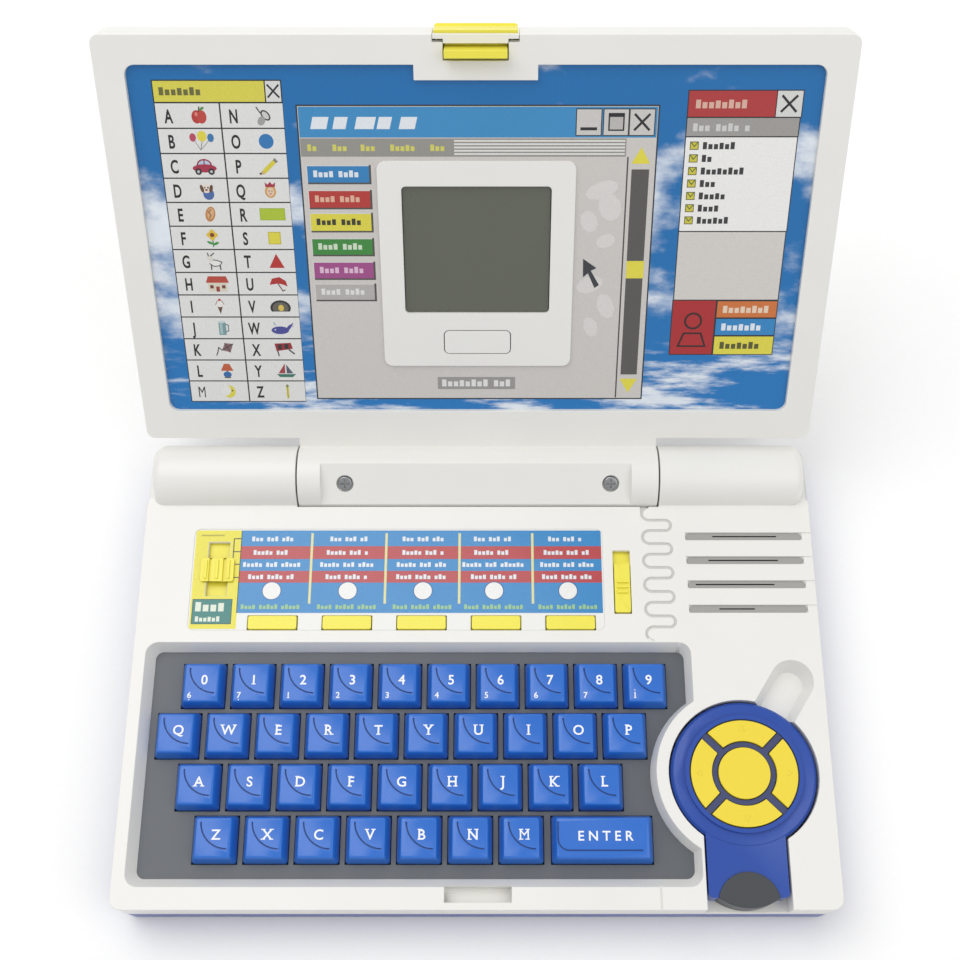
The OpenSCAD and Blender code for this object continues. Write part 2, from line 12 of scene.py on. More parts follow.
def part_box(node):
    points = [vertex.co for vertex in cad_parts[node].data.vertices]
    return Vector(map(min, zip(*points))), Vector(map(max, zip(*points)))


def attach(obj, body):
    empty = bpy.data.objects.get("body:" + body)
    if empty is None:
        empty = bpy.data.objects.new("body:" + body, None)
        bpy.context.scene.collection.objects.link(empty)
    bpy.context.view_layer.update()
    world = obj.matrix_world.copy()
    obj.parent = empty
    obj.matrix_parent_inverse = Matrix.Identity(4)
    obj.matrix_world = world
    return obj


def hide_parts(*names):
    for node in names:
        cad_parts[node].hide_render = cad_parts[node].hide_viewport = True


bl_info = {
    "name": "Toy laptop computer",
    "version": (1, 0, 0),
    "blender": (4, 5, 0),
    "location": "3D View > Sidebar > Toy Laptop",
    "description": "Adds the finished shells, keys, prints and display of a toy laptop computer",
    "category": "Object",
}

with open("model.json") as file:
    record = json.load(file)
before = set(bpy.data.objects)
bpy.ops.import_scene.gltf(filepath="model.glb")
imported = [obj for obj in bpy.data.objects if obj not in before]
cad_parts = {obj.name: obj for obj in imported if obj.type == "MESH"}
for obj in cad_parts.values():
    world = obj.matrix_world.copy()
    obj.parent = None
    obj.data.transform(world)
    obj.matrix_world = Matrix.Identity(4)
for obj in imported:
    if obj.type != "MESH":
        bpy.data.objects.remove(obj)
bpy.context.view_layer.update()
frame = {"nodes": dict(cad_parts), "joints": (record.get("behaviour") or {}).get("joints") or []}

MM = 0.001
HINGE = next(j for j in frame["joints"] if j["name"] == "lid_hinge")
OPEN_TILT = math.radians(180 + HINGE["range_deg"][0])
DECK = Matrix.Scale(MM, 4)
LID = Matrix.Translation(HINGE["pos_m"]) @ Matrix.Rotation(OPEN_TILT, 4, "X") @ DECK

DECK_Z = 26.0
# Label recess on the deck with its depth, the slot of the level slider and the middle of the mode buttons
LABEL = (-106.1, 46.6, 12.6, 52.2)
LABEL_DEPTH = 0.4
LEVEL_SLOT = (-100.7, -92.5, 25.7, 47.2)
MODE_Y = 15.4
# The nose of the mouse is a lens between two arcs, each by its centre's depth and its radius. They meet
# at its tips.
NOSE_X = 93.1
NOSE_BACK = (-84.4, 10.7)
NOSE_FRONT = (-68.0, 17.9)
NOSE_TIPS = -82.478
NOSE_HALF = 10.526
# Narrow part of the mouse: its front end, a little more than half its width, and its top
NECK_END = -82.4
NECK_HALF = 12.1
NECK_TOP = 25.31
# Flat on the lid's barrel: its height over the hinge axis, its tilt and its screws
FLAT_T = 9.6
FLAT_TILT = math.radians(16)
SCREW_X = 50
# Catch slot at the front, as (x0, x1, y0, y1). The pocket below it reaches past its sides.
CATCH = (-11.0, 12.0, -84.0, -78.6)
# Speaker slots: their ends, the first one's middle, their pitch, and how far each slit runs in the grey sheet
# of painted shade on the slot's floor
SLOT_X = (77.8, 121.4)
SLOT_Y = 20.8
SLOT_PITCH = 9.5
SLITS = ((89.0, 102.0), (80.5, 110.0), (86.0, 112.0), (88.0, 112.0))
# The winding groove between the label and the speaker slots: its sides and front, and the heights of its
# floor and walls, whose faces are painted darker as painted shade. Where it runs into the rim of the
# keyboard, as (x0, x1, y0, y1), edges aren't rounded.
GROOVE_SIDES = (LABEL[1] + 4, SLOT_X[0] - 2)
GROOVE_FRONT = 9.0
GROOVE_LEVELS = (DECK_Z - 0.9, DECK_Z - 0.2)
GROOVE_END = (48.0, 74.0, 5.0, 12.0)
# Lid latch, in the lid's own frame: what the finished latch lacks, and the bar of the bezel that covers it
LATCH_TRIMS = (
    ((-15.0, 157.2, -6.2), (15.0, 164.0, 0.0)),
    ((-15.0, 161.8, -14.0), (15.0, 164.0, 0.0)),
    ((-12.0, 152.0, -6.0), (12.0, 154.4, 4.0)),
)
LATCH_BARS = (
    ((-10.6, 158.3, -5.6), (10.6, 160.9, -2.6)),
    ((-14.0, 159.7, -5.6), (-10.6, 160.9, -2.6)),
    ((10.6, 159.7, -5.6), (14.0, 160.9, -2.6)),
)
# Floor of the picture window, over the plane through the hinge axis
SHEET_T = -4.4
# A printed film lies this far over its floor
FILM_GAP = 0.02

# Printed inks for outlines: the small lines, and the frames of the small window
INK = "23252A"
FRAME_INK = "2B2D31"

# Key caps: drop below the top and how much narrower and shallower the cap is there, from the base up
KEY_STEPS = ((4.6, 0.0, 0.0), (1.2, 2.2, 1.8), (0.5, 2.9, 2.3), (0.15, 3.4, 2.8), (0.0, 4.0, 3.4))
# Radius of a cap's upright corners, and how much shallower a finished cap is than its node
KEY_CORNER = 1.0
LIP = 1.3
# Engraved line on a key cap: a quarter of a circle, and on the wide key a smaller one with straight ends
ARC_CENTRE = (4.9, 5.5)
ARC_RADIUS = 9.3
WIDE_RADIUS = 3.9
LINE_WIDTH = 0.55
LINE_DEPTH = 0.5
# The small second numeral on the digit keys: its share of the legend's height, its place and its dot,
# which is 1 above, -1 below
TONE_SHARE = 0.62
TONE_PLACE = (-4.1, -4.5)
TONES = {"0": ("6", -1), "1": ("7", -1), "2": ("1", 0), "3": ("2", 0), "4": ("3", 0),
         "5": ("4", 0), "6": ("5", 0), "7": ("6", 0), "8": ("7", 0), "9": ("1", 1)}
# Height of a capital as a share of the built-in font's size
CAP_SHARE = 0.729
# Edges sharper than this are rounded
SHARP = math.radians(38)
# Where each letter has slab serifs: top or bottom, then left, centre or right
SERIFS = {
    "A": "bl br", "B": "bl tl", "D": "bl tl", "E": "bl tl", "F": "bl tl", "H": "bl br tl tr", "I": "bc tc",
    "J": "tr", "K": "bl br tl tr", "L": "bl tl", "M": "bl br tl tr", "N": "bl tl tr", "P": "bl tl",
    "R": "bl br tl", "T": "bc", "U": "tl tr", "V": "tl tr", "W": "tl tr", "X": "bl br tl tr", "Y": "bc tl tr",
    "1": "bc",
}


def linear(code):
    """The linear colour, with alpha, of an sRGB hex value."""
    parts = [int(code[i:i + 2], 16) / 255 for i in (0, 2, 4)]
    return tuple(p / 12.92 if p <= 0.04045 else ((p + 0.055) / 1.055) ** 2.4 for p in parts) + (1.0,)


def box_mm(node_name):
    """The lowest and highest corner of a frame node, in millimetres."""
    return [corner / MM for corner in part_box(node_name)]


def shade(colour, factor):
    """The same colour, lighter or darker."""
    return tuple(min(1.0, part * factor) for part in colour[:3]) + (1.0,)


# ---- sizes and colours


def colour_property(name, description, code):
    return FloatVectorProperty(
        name=name, description=description, subtype="COLOR", size=3, min=0, max=1, default=linear(code)[:3]
    )


def length_property(name, description, millimetres):
    return FloatProperty(
        name=name, description=description, subtype="DISTANCE", unit="LENGTH", default=millimetres * MM
    )


class ToyLaptopColours(bpy.types.PropertyGroup):
    """Colours of the mouldings."""

    shell: colour_property("Shell", "White of the base and lid shells", "EDECE7")
    tray: colour_property("Tray", "Blue of the bottom shell", "24429C")
    panel: colour_property("Panel", "Grey of the keyboard panel", "5B5F64")
    keys: colour_property("Keys", "Blue of the key caps", "286DCC")
    mouse: colour_property("Mouse", "Blue of the mouse", "244CA6")
    buttons: colour_property("Buttons", "Yellow of the deck buttons and the latch", "F3E84E")
    petals: colour_property("Arrow pad", "Yellow of the mouse buttons", "F2DA3A")
    sky: colour_property("Sky", "Blue of the picture sheet", "0A6CAE")


class ToyLaptopSizes(bpy.types.PropertyGroup):
    """Sizes of the fine work."""

    shell_edge: length_property("Shell edge", "Radius on the edges of the shells", 0.2)
    part_edge: length_property("Part edge", "Radius on the edges of small mouldings", 0.2)
    film: length_property("Film", "Thickness of the printed films", 0.15)
    legend: length_property("Legend", "Height of the letters on the keys", 3.6)


def colours(name):
    return tuple(getattr(bpy.context.scene.toy_laptop_colours, name)) + (1.0,)


def sizes(name):
    return getattr(bpy.context.scene.toy_laptop_sizes, name)


# ---- meshes


def bevel(bm, edges, width, segments=4):
    bmesh.ops.bevel(
        bm, geom=edges, offset=width, offset_type="OFFSET", segments=segments,
        profile=0.5, affect="EDGES", material=-1, clamp_overlap=True,
    )


def above(bm, level):
    """The edges that lie over a height."""
    return [e for e in bm.edges if min(v.co.z for v in e.verts) > level]


def highest(bm):
    return max(bm.faces, key=lambda face: face.calc_center_median().z)


def block(low, high, corner=0.0):
    """Box between two corners, with rounded upright edges."""
    bm = bmesh.new()
    bmesh.ops.create_cube(bm, size=1.0)
    low = Vector(low)
    high = Vector(high)
    bmesh.ops.scale(bm, vec=high - low, verts=bm.verts)
    bmesh.ops.translate(bm, vec=(low + high) / 2, verts=bm.verts)
    if corner:
        tall = (high.z - low.z) / 2
        bevel(bm, [e for e in bm.edges if abs(e.verts[0].co.z - e.verts[1].co.z) > tall], corner)
    return bm


def merge(target, *parts, slot=None):
    """Adds other meshes to the target; slot sets their material."""
    for part in parts:
        if slot is not None:
            for face in part.faces:
                face.material_index = slot
        mesh = bpy.data.meshes.new("part")
        part.to_mesh(mesh)
        part.free()
        target.from_mesh(mesh)
        bpy.data.meshes.remove(mesh)
    return target


def evaluated(thing):
    """The final mesh of an object, as a bmesh."""
    graph = bpy.context.evaluated_depsgraph_get()
    graph.update()
    mesh = bpy.data.meshes.new_from_object(thing.evaluated_get(graph))
    bm = bmesh.new()
    bm.from_mesh(mesh)
    bpy.data.meshes.remove(mesh)
    return bm


def temporary(bm, name):
    mesh = bpy.data.meshes.new(name)
    bm.to_mesh(mesh)
    bm.free()
    thing = bpy.data.objects.new(name, mesh)
    bpy.context.scene.collection.objects.link(thing)
    return thing


def cut(bm, cutter):
    """Takes the cutter's volume out of a closed mesh."""
    body = temporary(bm, "body")
    tool = temporary(cutter, "tool")
    change = body.modifiers.new("cut", "BOOLEAN")
    change.operation = "DIFFERENCE"
    change.solver = "EXACT"
    change.object = tool
    result = evaluated(body)
    for thing in (body, tool):
        mesh = thing.data
        bpy.data.objects.remove(thing)
        bpy.data.meshes.remove(mesh)
    return result


def crease(bm, degrees):
    """Smooth faces, with sharp edges where they meet at more than an angle."""
    limit = math.radians(degrees)
    for face in bm.faces:
        face.smooth = True
    for edge in bm.edges:
        edge.smooth = len(edge.link_faces) == 2 and edge.calc_face_angle(math.pi) < limit


def piece(name, bm, body, materials, place=DECK, replaces=(), degrees=35):
    """Makes a mesh in millimetres into a piece that rides on a body."""
    bmesh.ops.transform(bm, matrix=place, verts=bm.verts)
    crease(bm, degrees)
    mesh = bpy.data.meshes.new(name)
    bm.to_mesh(mesh)
    bm.free()
    made = bpy.data.objects.new(name, mesh)
    bpy.context.scene.collection.objects.link(made)
    for material in materials:
        mesh.materials.append(material)
    if replaces:
        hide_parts(*replaces)
    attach(made, body)
    return made


def round_edges(made, width):
    """Rounds the piece's sharp edges."""
    change = made.modifiers.new("edges", "BEVEL")
    change.width = width
    change.segments = 2
    change.limit_method = "ANGLE"
    change.angle_limit = SHARP
    change.harden_normals = True
    change.use_clamp_overlap = False
    return made


def node_mesh(node_name, trims=(), paint=None):
    """A copy of a frame node in millimetres, with merged vertices. Trims are boxes to take away, and paint
    gives a face's material from its corners."""
    bm = bmesh.new()
    bm.from_mesh(frame["nodes"][node_name].data)
    bmesh.ops.scale(bm, vec=Vector((1, 1, 1)) / MM, verts=bm.verts)
    bmesh.ops.remove_doubles(bm, verts=bm.verts, dist=0.001)
    for low, high in trims:
        bm = cut(bm, block(low, high))
    if paint:
        for face in bm.faces:
            face.material_index = paint([v.co for v in face.verts])
    bmesh.ops.dissolve_limit(bm, angle_limit=math.radians(1), verts=bm.verts, edges=bm.edges,
                             delimit={"MATERIAL"})
    return bm


def moulded_copy(node_name, name, body, materials, width=None):
    """A copy of a frame node with rounded edges, which stands for that node."""
    made = piece(name, node_mesh(node_name), body, materials, replaces=(node_name,))
    if width != 0:
        round_edges(made, sizes("part_edge") if width is None else width)
    return made


# ---- materials


def add(tree, kind, values=None, output=0, **settings):
    """Adds a node, sets its fields, sets or links its inputs, and gives one of its outputs, if it has any."""
    made = tree.nodes.new("ShaderNode" + kind)
    for field, value in settings.items():
        setattr(made, field, value)
    for key, value in (values or {}).items():
        if isinstance(value, bpy.types.NodeSocket):
            tree.links.new(value, made.inputs[key])
        else:
            made.inputs[key].default_value = value
    return made.outputs[output] if made.outputs else None


def surface(name, values):
    """A new material with one Principled shader: the material, its node tree and the shader."""
    material = bpy.data.materials.new(name)
    material.use_nodes = True
    tree = material.node_tree
    tree.nodes.clear()
    shader = add(tree, "BsdfPrincipled", values).node
    add(tree, "OutputMaterial", {"Surface": shader.outputs[0]})
    return material, tree, shader


def grain(tree, size, detail=2.0):
    """A pattern with features of a size in millimetres."""
    place = add(tree, "TexCoord", output="Object")
    return add(tree, "TexNoise", {"Vector": place, "Scale": 1 / (size * MM), "Detail": detail})


def finish(tree, shader, colour, rough, height, depth):
    """Gives the shader its colour, its roughness and a relief of a depth in millimetres."""
    bump = add(tree, "Bump", {"Height": height, "Distance": depth * MM, "Strength": 0.6})
    for value, key in ((colour, "Base Color"), (rough, "Roughness"), (bump, "Normal")):
        tree.links.new(value, shader.inputs[key])


def moulded(name, colour, gloss=0.3, texture=0.35, depth=0.03):
    """Injection-moulded ABS: an even colour with faint flow marks, and a fine eroded texture in its gloss.
    The texture is drawn at about twice its real size, so that it shows. With its own gloss and texture
    each, the same finish does for rubber, paper, lacquer, the display's glass and the grey sheets of
    painted shade in the speaker slots."""
    material, tree, shader = surface(name, {"IOR": 1.53})
    flow = grain(tree, 28, 3.0)
    fine = grain(tree, texture)
    pale = {0: flow, 6: shade(colour, 0.94), 7: shade(colour, 1.04)}
    pale = add(tree, "Mix", pale, 2, data_type="RGBA")
    mottled = add(tree, "Mix", {0: fine, 6: pale, 7: shade(colour, 0.97)}, 2, data_type="RGBA")
    coarse = add(tree, "MapRange", {0: flow, 3: gloss - 0.05, 4: gloss + 0.05})
    minute = add(tree, "MapRange", {0: fine, 3: -0.05, 4: 0.05})
    rough = add(tree, "Math", {0: coarse, 1: minute}, operation="ADD")
    finish(tree, shader, mottled, rough, fine, depth)
    return material


def plated_steel(name, code, gloss):
    """Plated steel: a clear metal gloss, broken by fine drawing marks."""
    material, tree, shader = surface(name, {"Metallic": 1.0})
    marks = grain(tree, 0.3, 3.0)
    streaked = {0: marks, 6: shade(linear(code), 0.85), 7: linear(code)}
    streaked = add(tree, "Mix", streaked, 2, data_type="RGBA")
    rough = add(tree, "MapRange", {0: marks, 3: gloss - 0.08, 4: gloss + 0.1})
    finish(tree, shader, streaked, rough, marks, 0.01)
    return material


def laminated(name, paint):
    """Clear laminate over a print: a soft gloss with slow waves. Paint adds the print's own nodes to the
    tree and gives their colour."""
    material, tree, shader = surface(name, {"IOR": 1.49, "Coat Weight": 0.35, "Coat Roughness": 0.1})
    rough = add(tree, "MapRange", {0: grain(tree, 12), 3: 0.22, 4: 0.34})
    finish(tree, shader, paint(tree), rough, grain(tree, 9), 0.02)
    return material


def printed_ink(tree):
    """Inks on paper: the faces' own colour, with a fine screen in it."""
    ink = add(tree, "Attribute", None, "Color", attribute_name="ink")
    dull = {0: 1.0, 6: ink, 7: linear("E4E4E4")}
    dull = add(tree, "Mix", dull, 2, data_type="RGBA", blend_type="MULTIPLY")
    return add(tree, "Mix", {0: grain(tree, 0.4), 6: ink, 7: dull}, 2, data_type="RGBA")


def printed_sky(tree):
    """Blue, with puffs of cloud that stretch out towards the lower edge. They follow the film's own UV map,
    which is in tenths of a metre."""
    uv = add(tree, "UVMap", uv_map="film")
    puffs = add(tree, "Mapping", {"Vector": uv, "Scale": (1.0, 1.7, 1.0), "Location": (0.31, 0.2, 0.0)})
    streaks = add(tree, "Mapping", {"Vector": uv, "Scale": (1.0, 4.6, 1.0)})
    high = add(tree, "TexNoise", {"Vector": puffs, "Scale": 2.0, "Detail": 8.0, "Roughness": 0.55})
    low = add(tree, "TexNoise", {"Vector": streaks, "Scale": 2.2, "Detail": 8.0, "Roughness": 0.62})
    rise = add(tree, "SeparateXYZ", {0: uv}, 1)
    step = {"interpolation_type": "SMOOTHSTEP"}
    foot = add(tree, "MapRange", {0: rise, 1: 0.42, 2: 0.68, 3: 1.0, 4: 0.0}, **step)
    crown = add(tree, "MapRange", {0: rise, 1: 1.15, 2: 1.5, 3: 0.0, 4: 0.12}, **step)
    field = add(tree, "Mix", {0: foot, 2: high, 3: low}, data_type="FLOAT")
    field = add(tree, "Math", {0: field, 1: crown}, operation="SUBTRACT")
    cover = add(tree, "MapRange", {0: field, 1: 0.47, 2: 0.62, 3: 0.0, 4: 1.0}, **step)
    fade = add(tree, "MapRange", {0: rise, 3: 0.0, 4: 1.0})
    blue = {0: fade, 6: shade(colours("sky"), 1.25), 7: colours("sky")}
    blue = add(tree, "Mix", blue, 2, data_type="RGBA")
    cloud = {0: grain(tree, 7, 3.0), 6: linear("D3DEEA"), 7: linear("F4F7FA")}
    cloud = add(tree, "Mix", cloud, 2, data_type="RGBA")
    return add(tree, "Mix", {0: cover, 6: blue, 7: cloud}, 2, data_type="RGBA")


# ---- lettering


def letters(text, height, weight, thickness=0.03, stretch=1.0):
    """The built-in font's letters as a thin closed mesh, centred on the origin, by their capital height.
    An M isn't made bolder, because its inner corners would fold over."""
    curve = bpy.data.curves.new("letters", "FONT")
    curve.body = text
    curve.size = height / CAP_SHARE
    curve.align_x = "CENTER"
    curve.offset = 0.0 if "M" in text else weight
    curve.extrude = thickness / 2
    curve.resolution_u = 4
    thing = bpy.data.objects.new("letters", curve)
    bpy.context.scene.collection.objects.link(thing)
    bm = evaluated(thing)
    bpy.data.objects.remove(thing)
    bpy.data.curves.remove(curve)
    bmesh.ops.remove_doubles(bm, verts=bm.verts, dist=1e-5)
    bmesh.ops.translate(bm, vec=(0, -height / 2, thickness / 2), verts=bm.verts)
    bmesh.ops.scale(bm, vec=(stretch, 1, 1), verts=bm.verts)
    return bm


def legend(text, height):
    """Bold letters with slab serifs on the ends of their stems."""
    bm = letters(text, height, height * 0.02)
    if len(text) > 1:
        return bm
    left = min(v.co.x for v in bm.verts)
    right = max(v.co.x for v in bm.verts)
    thick = height * 0.08
    inward = thick * 1.6
    reach = thick * 2.6
    end = height / 2
    for row, column in SERIFS.get(text, "").split():
        x = {"l": left + inward, "r": right - inward, "c": (left + right) / 2}[column]
        y0, y1 = (end - thick, end + 0.04) if row == "t" else (-end - 0.04, thick - end)
        merge(bm, block((x - reach, y0, 0), (x + reach, y1, 0.034)))
    return bm


# ---- printed films


class Print:
    """Flat inked shapes on a plane, in millimetres. Each level lies a hair above the one below."""

    STEP = 0.012

    def __init__(self, height):
        self.bm = bmesh.new()
        self.ink = self.bm.loops.layers.float_color.new("ink")
        self.height = height

    def paint(self, verts, code, level):
        value = linear(code)
        for vert in verts:
            vert.co.z = self.height + level * self.STEP
        for face in {f for v in verts for f in v.link_faces}:
            face.material_index = 1
            for loop in face.loops:
                loop[self.ink] = value

    def bar(self, x0, x1, y0, y1, code, level):
        place = Matrix.Translation(((x0 + x1) / 2, (y0 + y1) / 2, 0))
        place = place @ Matrix.Diagonal((x1 - x0, y1 - y0, 1, 1))
        made = bmesh.ops.create_grid(self.bm, x_segments=1, y_segments=1, size=0.5, matrix=place)
        self.paint(made["verts"], code, level)

    def disc(self, x, y, rx, ry, code, level, turn=0, sides=20):
        place = Matrix.Translation((x, y, 0)) @ Matrix.Rotation(math.radians(turn), 4, "Z")
        place = place @ Matrix.Diagonal((rx, ry, 1, 1))
        made = bmesh.ops.create_circle(self.bm, cap_ends=True, radius=1, segments=sides, matrix=place)
        self.paint(made["verts"], code, level)

    def shape(self, points, code, level):
        area = sum(a[0] * b[1] - b[0] * a[1] for a, b in zip(points, points[1:] + points[:1]))
        verts = [self.bm.verts.new((x, y, 0)) for x, y in (points if area > 0 else points[::-1])]
        self.bm.faces.new(verts)
        self.paint(verts, code, level)

    def line(self, points, width, code, level):
        """Straight strokes from point to point, each a little longer than its step."""
        places = [Vector(point) for point in points]
        for start, stop in zip(places, places[1:]):
            along = (stop - start).normalized() * width
            side = along.orthogonal() / 2
            start = start - along / 3
            stop = stop + along / 3
            self.shape([start + side, start - side, stop - side, stop + side], code, level)

    def cross(self, x0, x1, y0, y1, width, level):
        self.line(((x0, y0), (x1, y1)), width, INK, level)
        self.line(((x0, y1), (x1, y0)), width, INK, level + 1)

    def ring(self, outer, inner, code, level):
        """Rectangle with a rectangular hole, both as (x0, x1, y0, y1)."""
        self.bar(outer[0], inner[0], outer[2], outer[3], code, level)
        self.bar(inner[1], outer[1], outer[2], outer[3], code, level)
        self.bar(inner[0], inner[1], outer[2], inner[2], code, level)
        self.bar(inner[0], inner[1], inner[3], outer[3], code, level)

    def boxed(self, x0, x1, y0, y1, fill, edge, width, level):
        """Rectangle with an outline."""
        self.bar(x0, x1, y0, y1, edge, level)
        self.bar(x0 + width, x1 - width, y0 + width, y1 - width, fill, level + 1)

    def words(self, x0, x1, y, height, code, level, lengths):
        """Rows of small blocks that stand for words: nothing can be read in them."""
        letter = height * 0.78
        pattern = (1.0, 0.72, 0.72, 0.9, 0.72, 1.0, 0.72)
        count = 0
        while x0 + letter < x1:
            for step in range(lengths[count % len(lengths)]):
                if x0 + letter > x1:
                    return
                tall = height * pattern[(count * 3 + step) % len(pattern)]
                self.bar(x0, x0 + letter * 0.74, y - height / 2, y - height / 2 + tall, code, level)
                x0 += letter
            x0 += letter * 0.8
            count += 1

    def text(self, sign, x, y, height, code, level, stretch):
        bm = letters(sign, height, height * 0.035, 0.0, stretch)
        bmesh.ops.translate(bm, vec=(x, y, 0), verts=bm.verts)
        before = set(self.bm.verts)
        merge(self.bm, bm)
        self.paint([v for v in self.bm.verts if v not in before], code, level)

    def icon(self, shapes, x, y, level):
        """Small picture: each shape's numbers are millimetres from the picture's centre."""
        for i, (kind, *values) in enumerate(shapes, level):
            if kind == "disc":
                cx, cy, rx, ry, code, *turn = values
                self.disc(x + cx, y + cy, rx, ry, code, i, *turn)
            elif kind == "bar":
                x0, x1, y0, y1, code = values
                self.bar(x + x0, x + x1, y + y0, y + y1, code, i)
            else:
                points = [(x + px, y + py) for px, py in values[0]]
                getattr(self, kind)(points, *values[1:], i)


def film(outer, openings, low, thick, corner):
    """Thin sheet with rounded corners and openings: its outline and each of them as (x0, x1, y0, y1)."""
    bm = block((outer[0], outer[2], low), (outer[1], outer[3], low + thick), corner)
    for x0, x1, y0, y1 in openings:
        bm = cut(bm, block((x0, y0, low - 1), (x1, y1, low + 1), 0.4))
    return bm


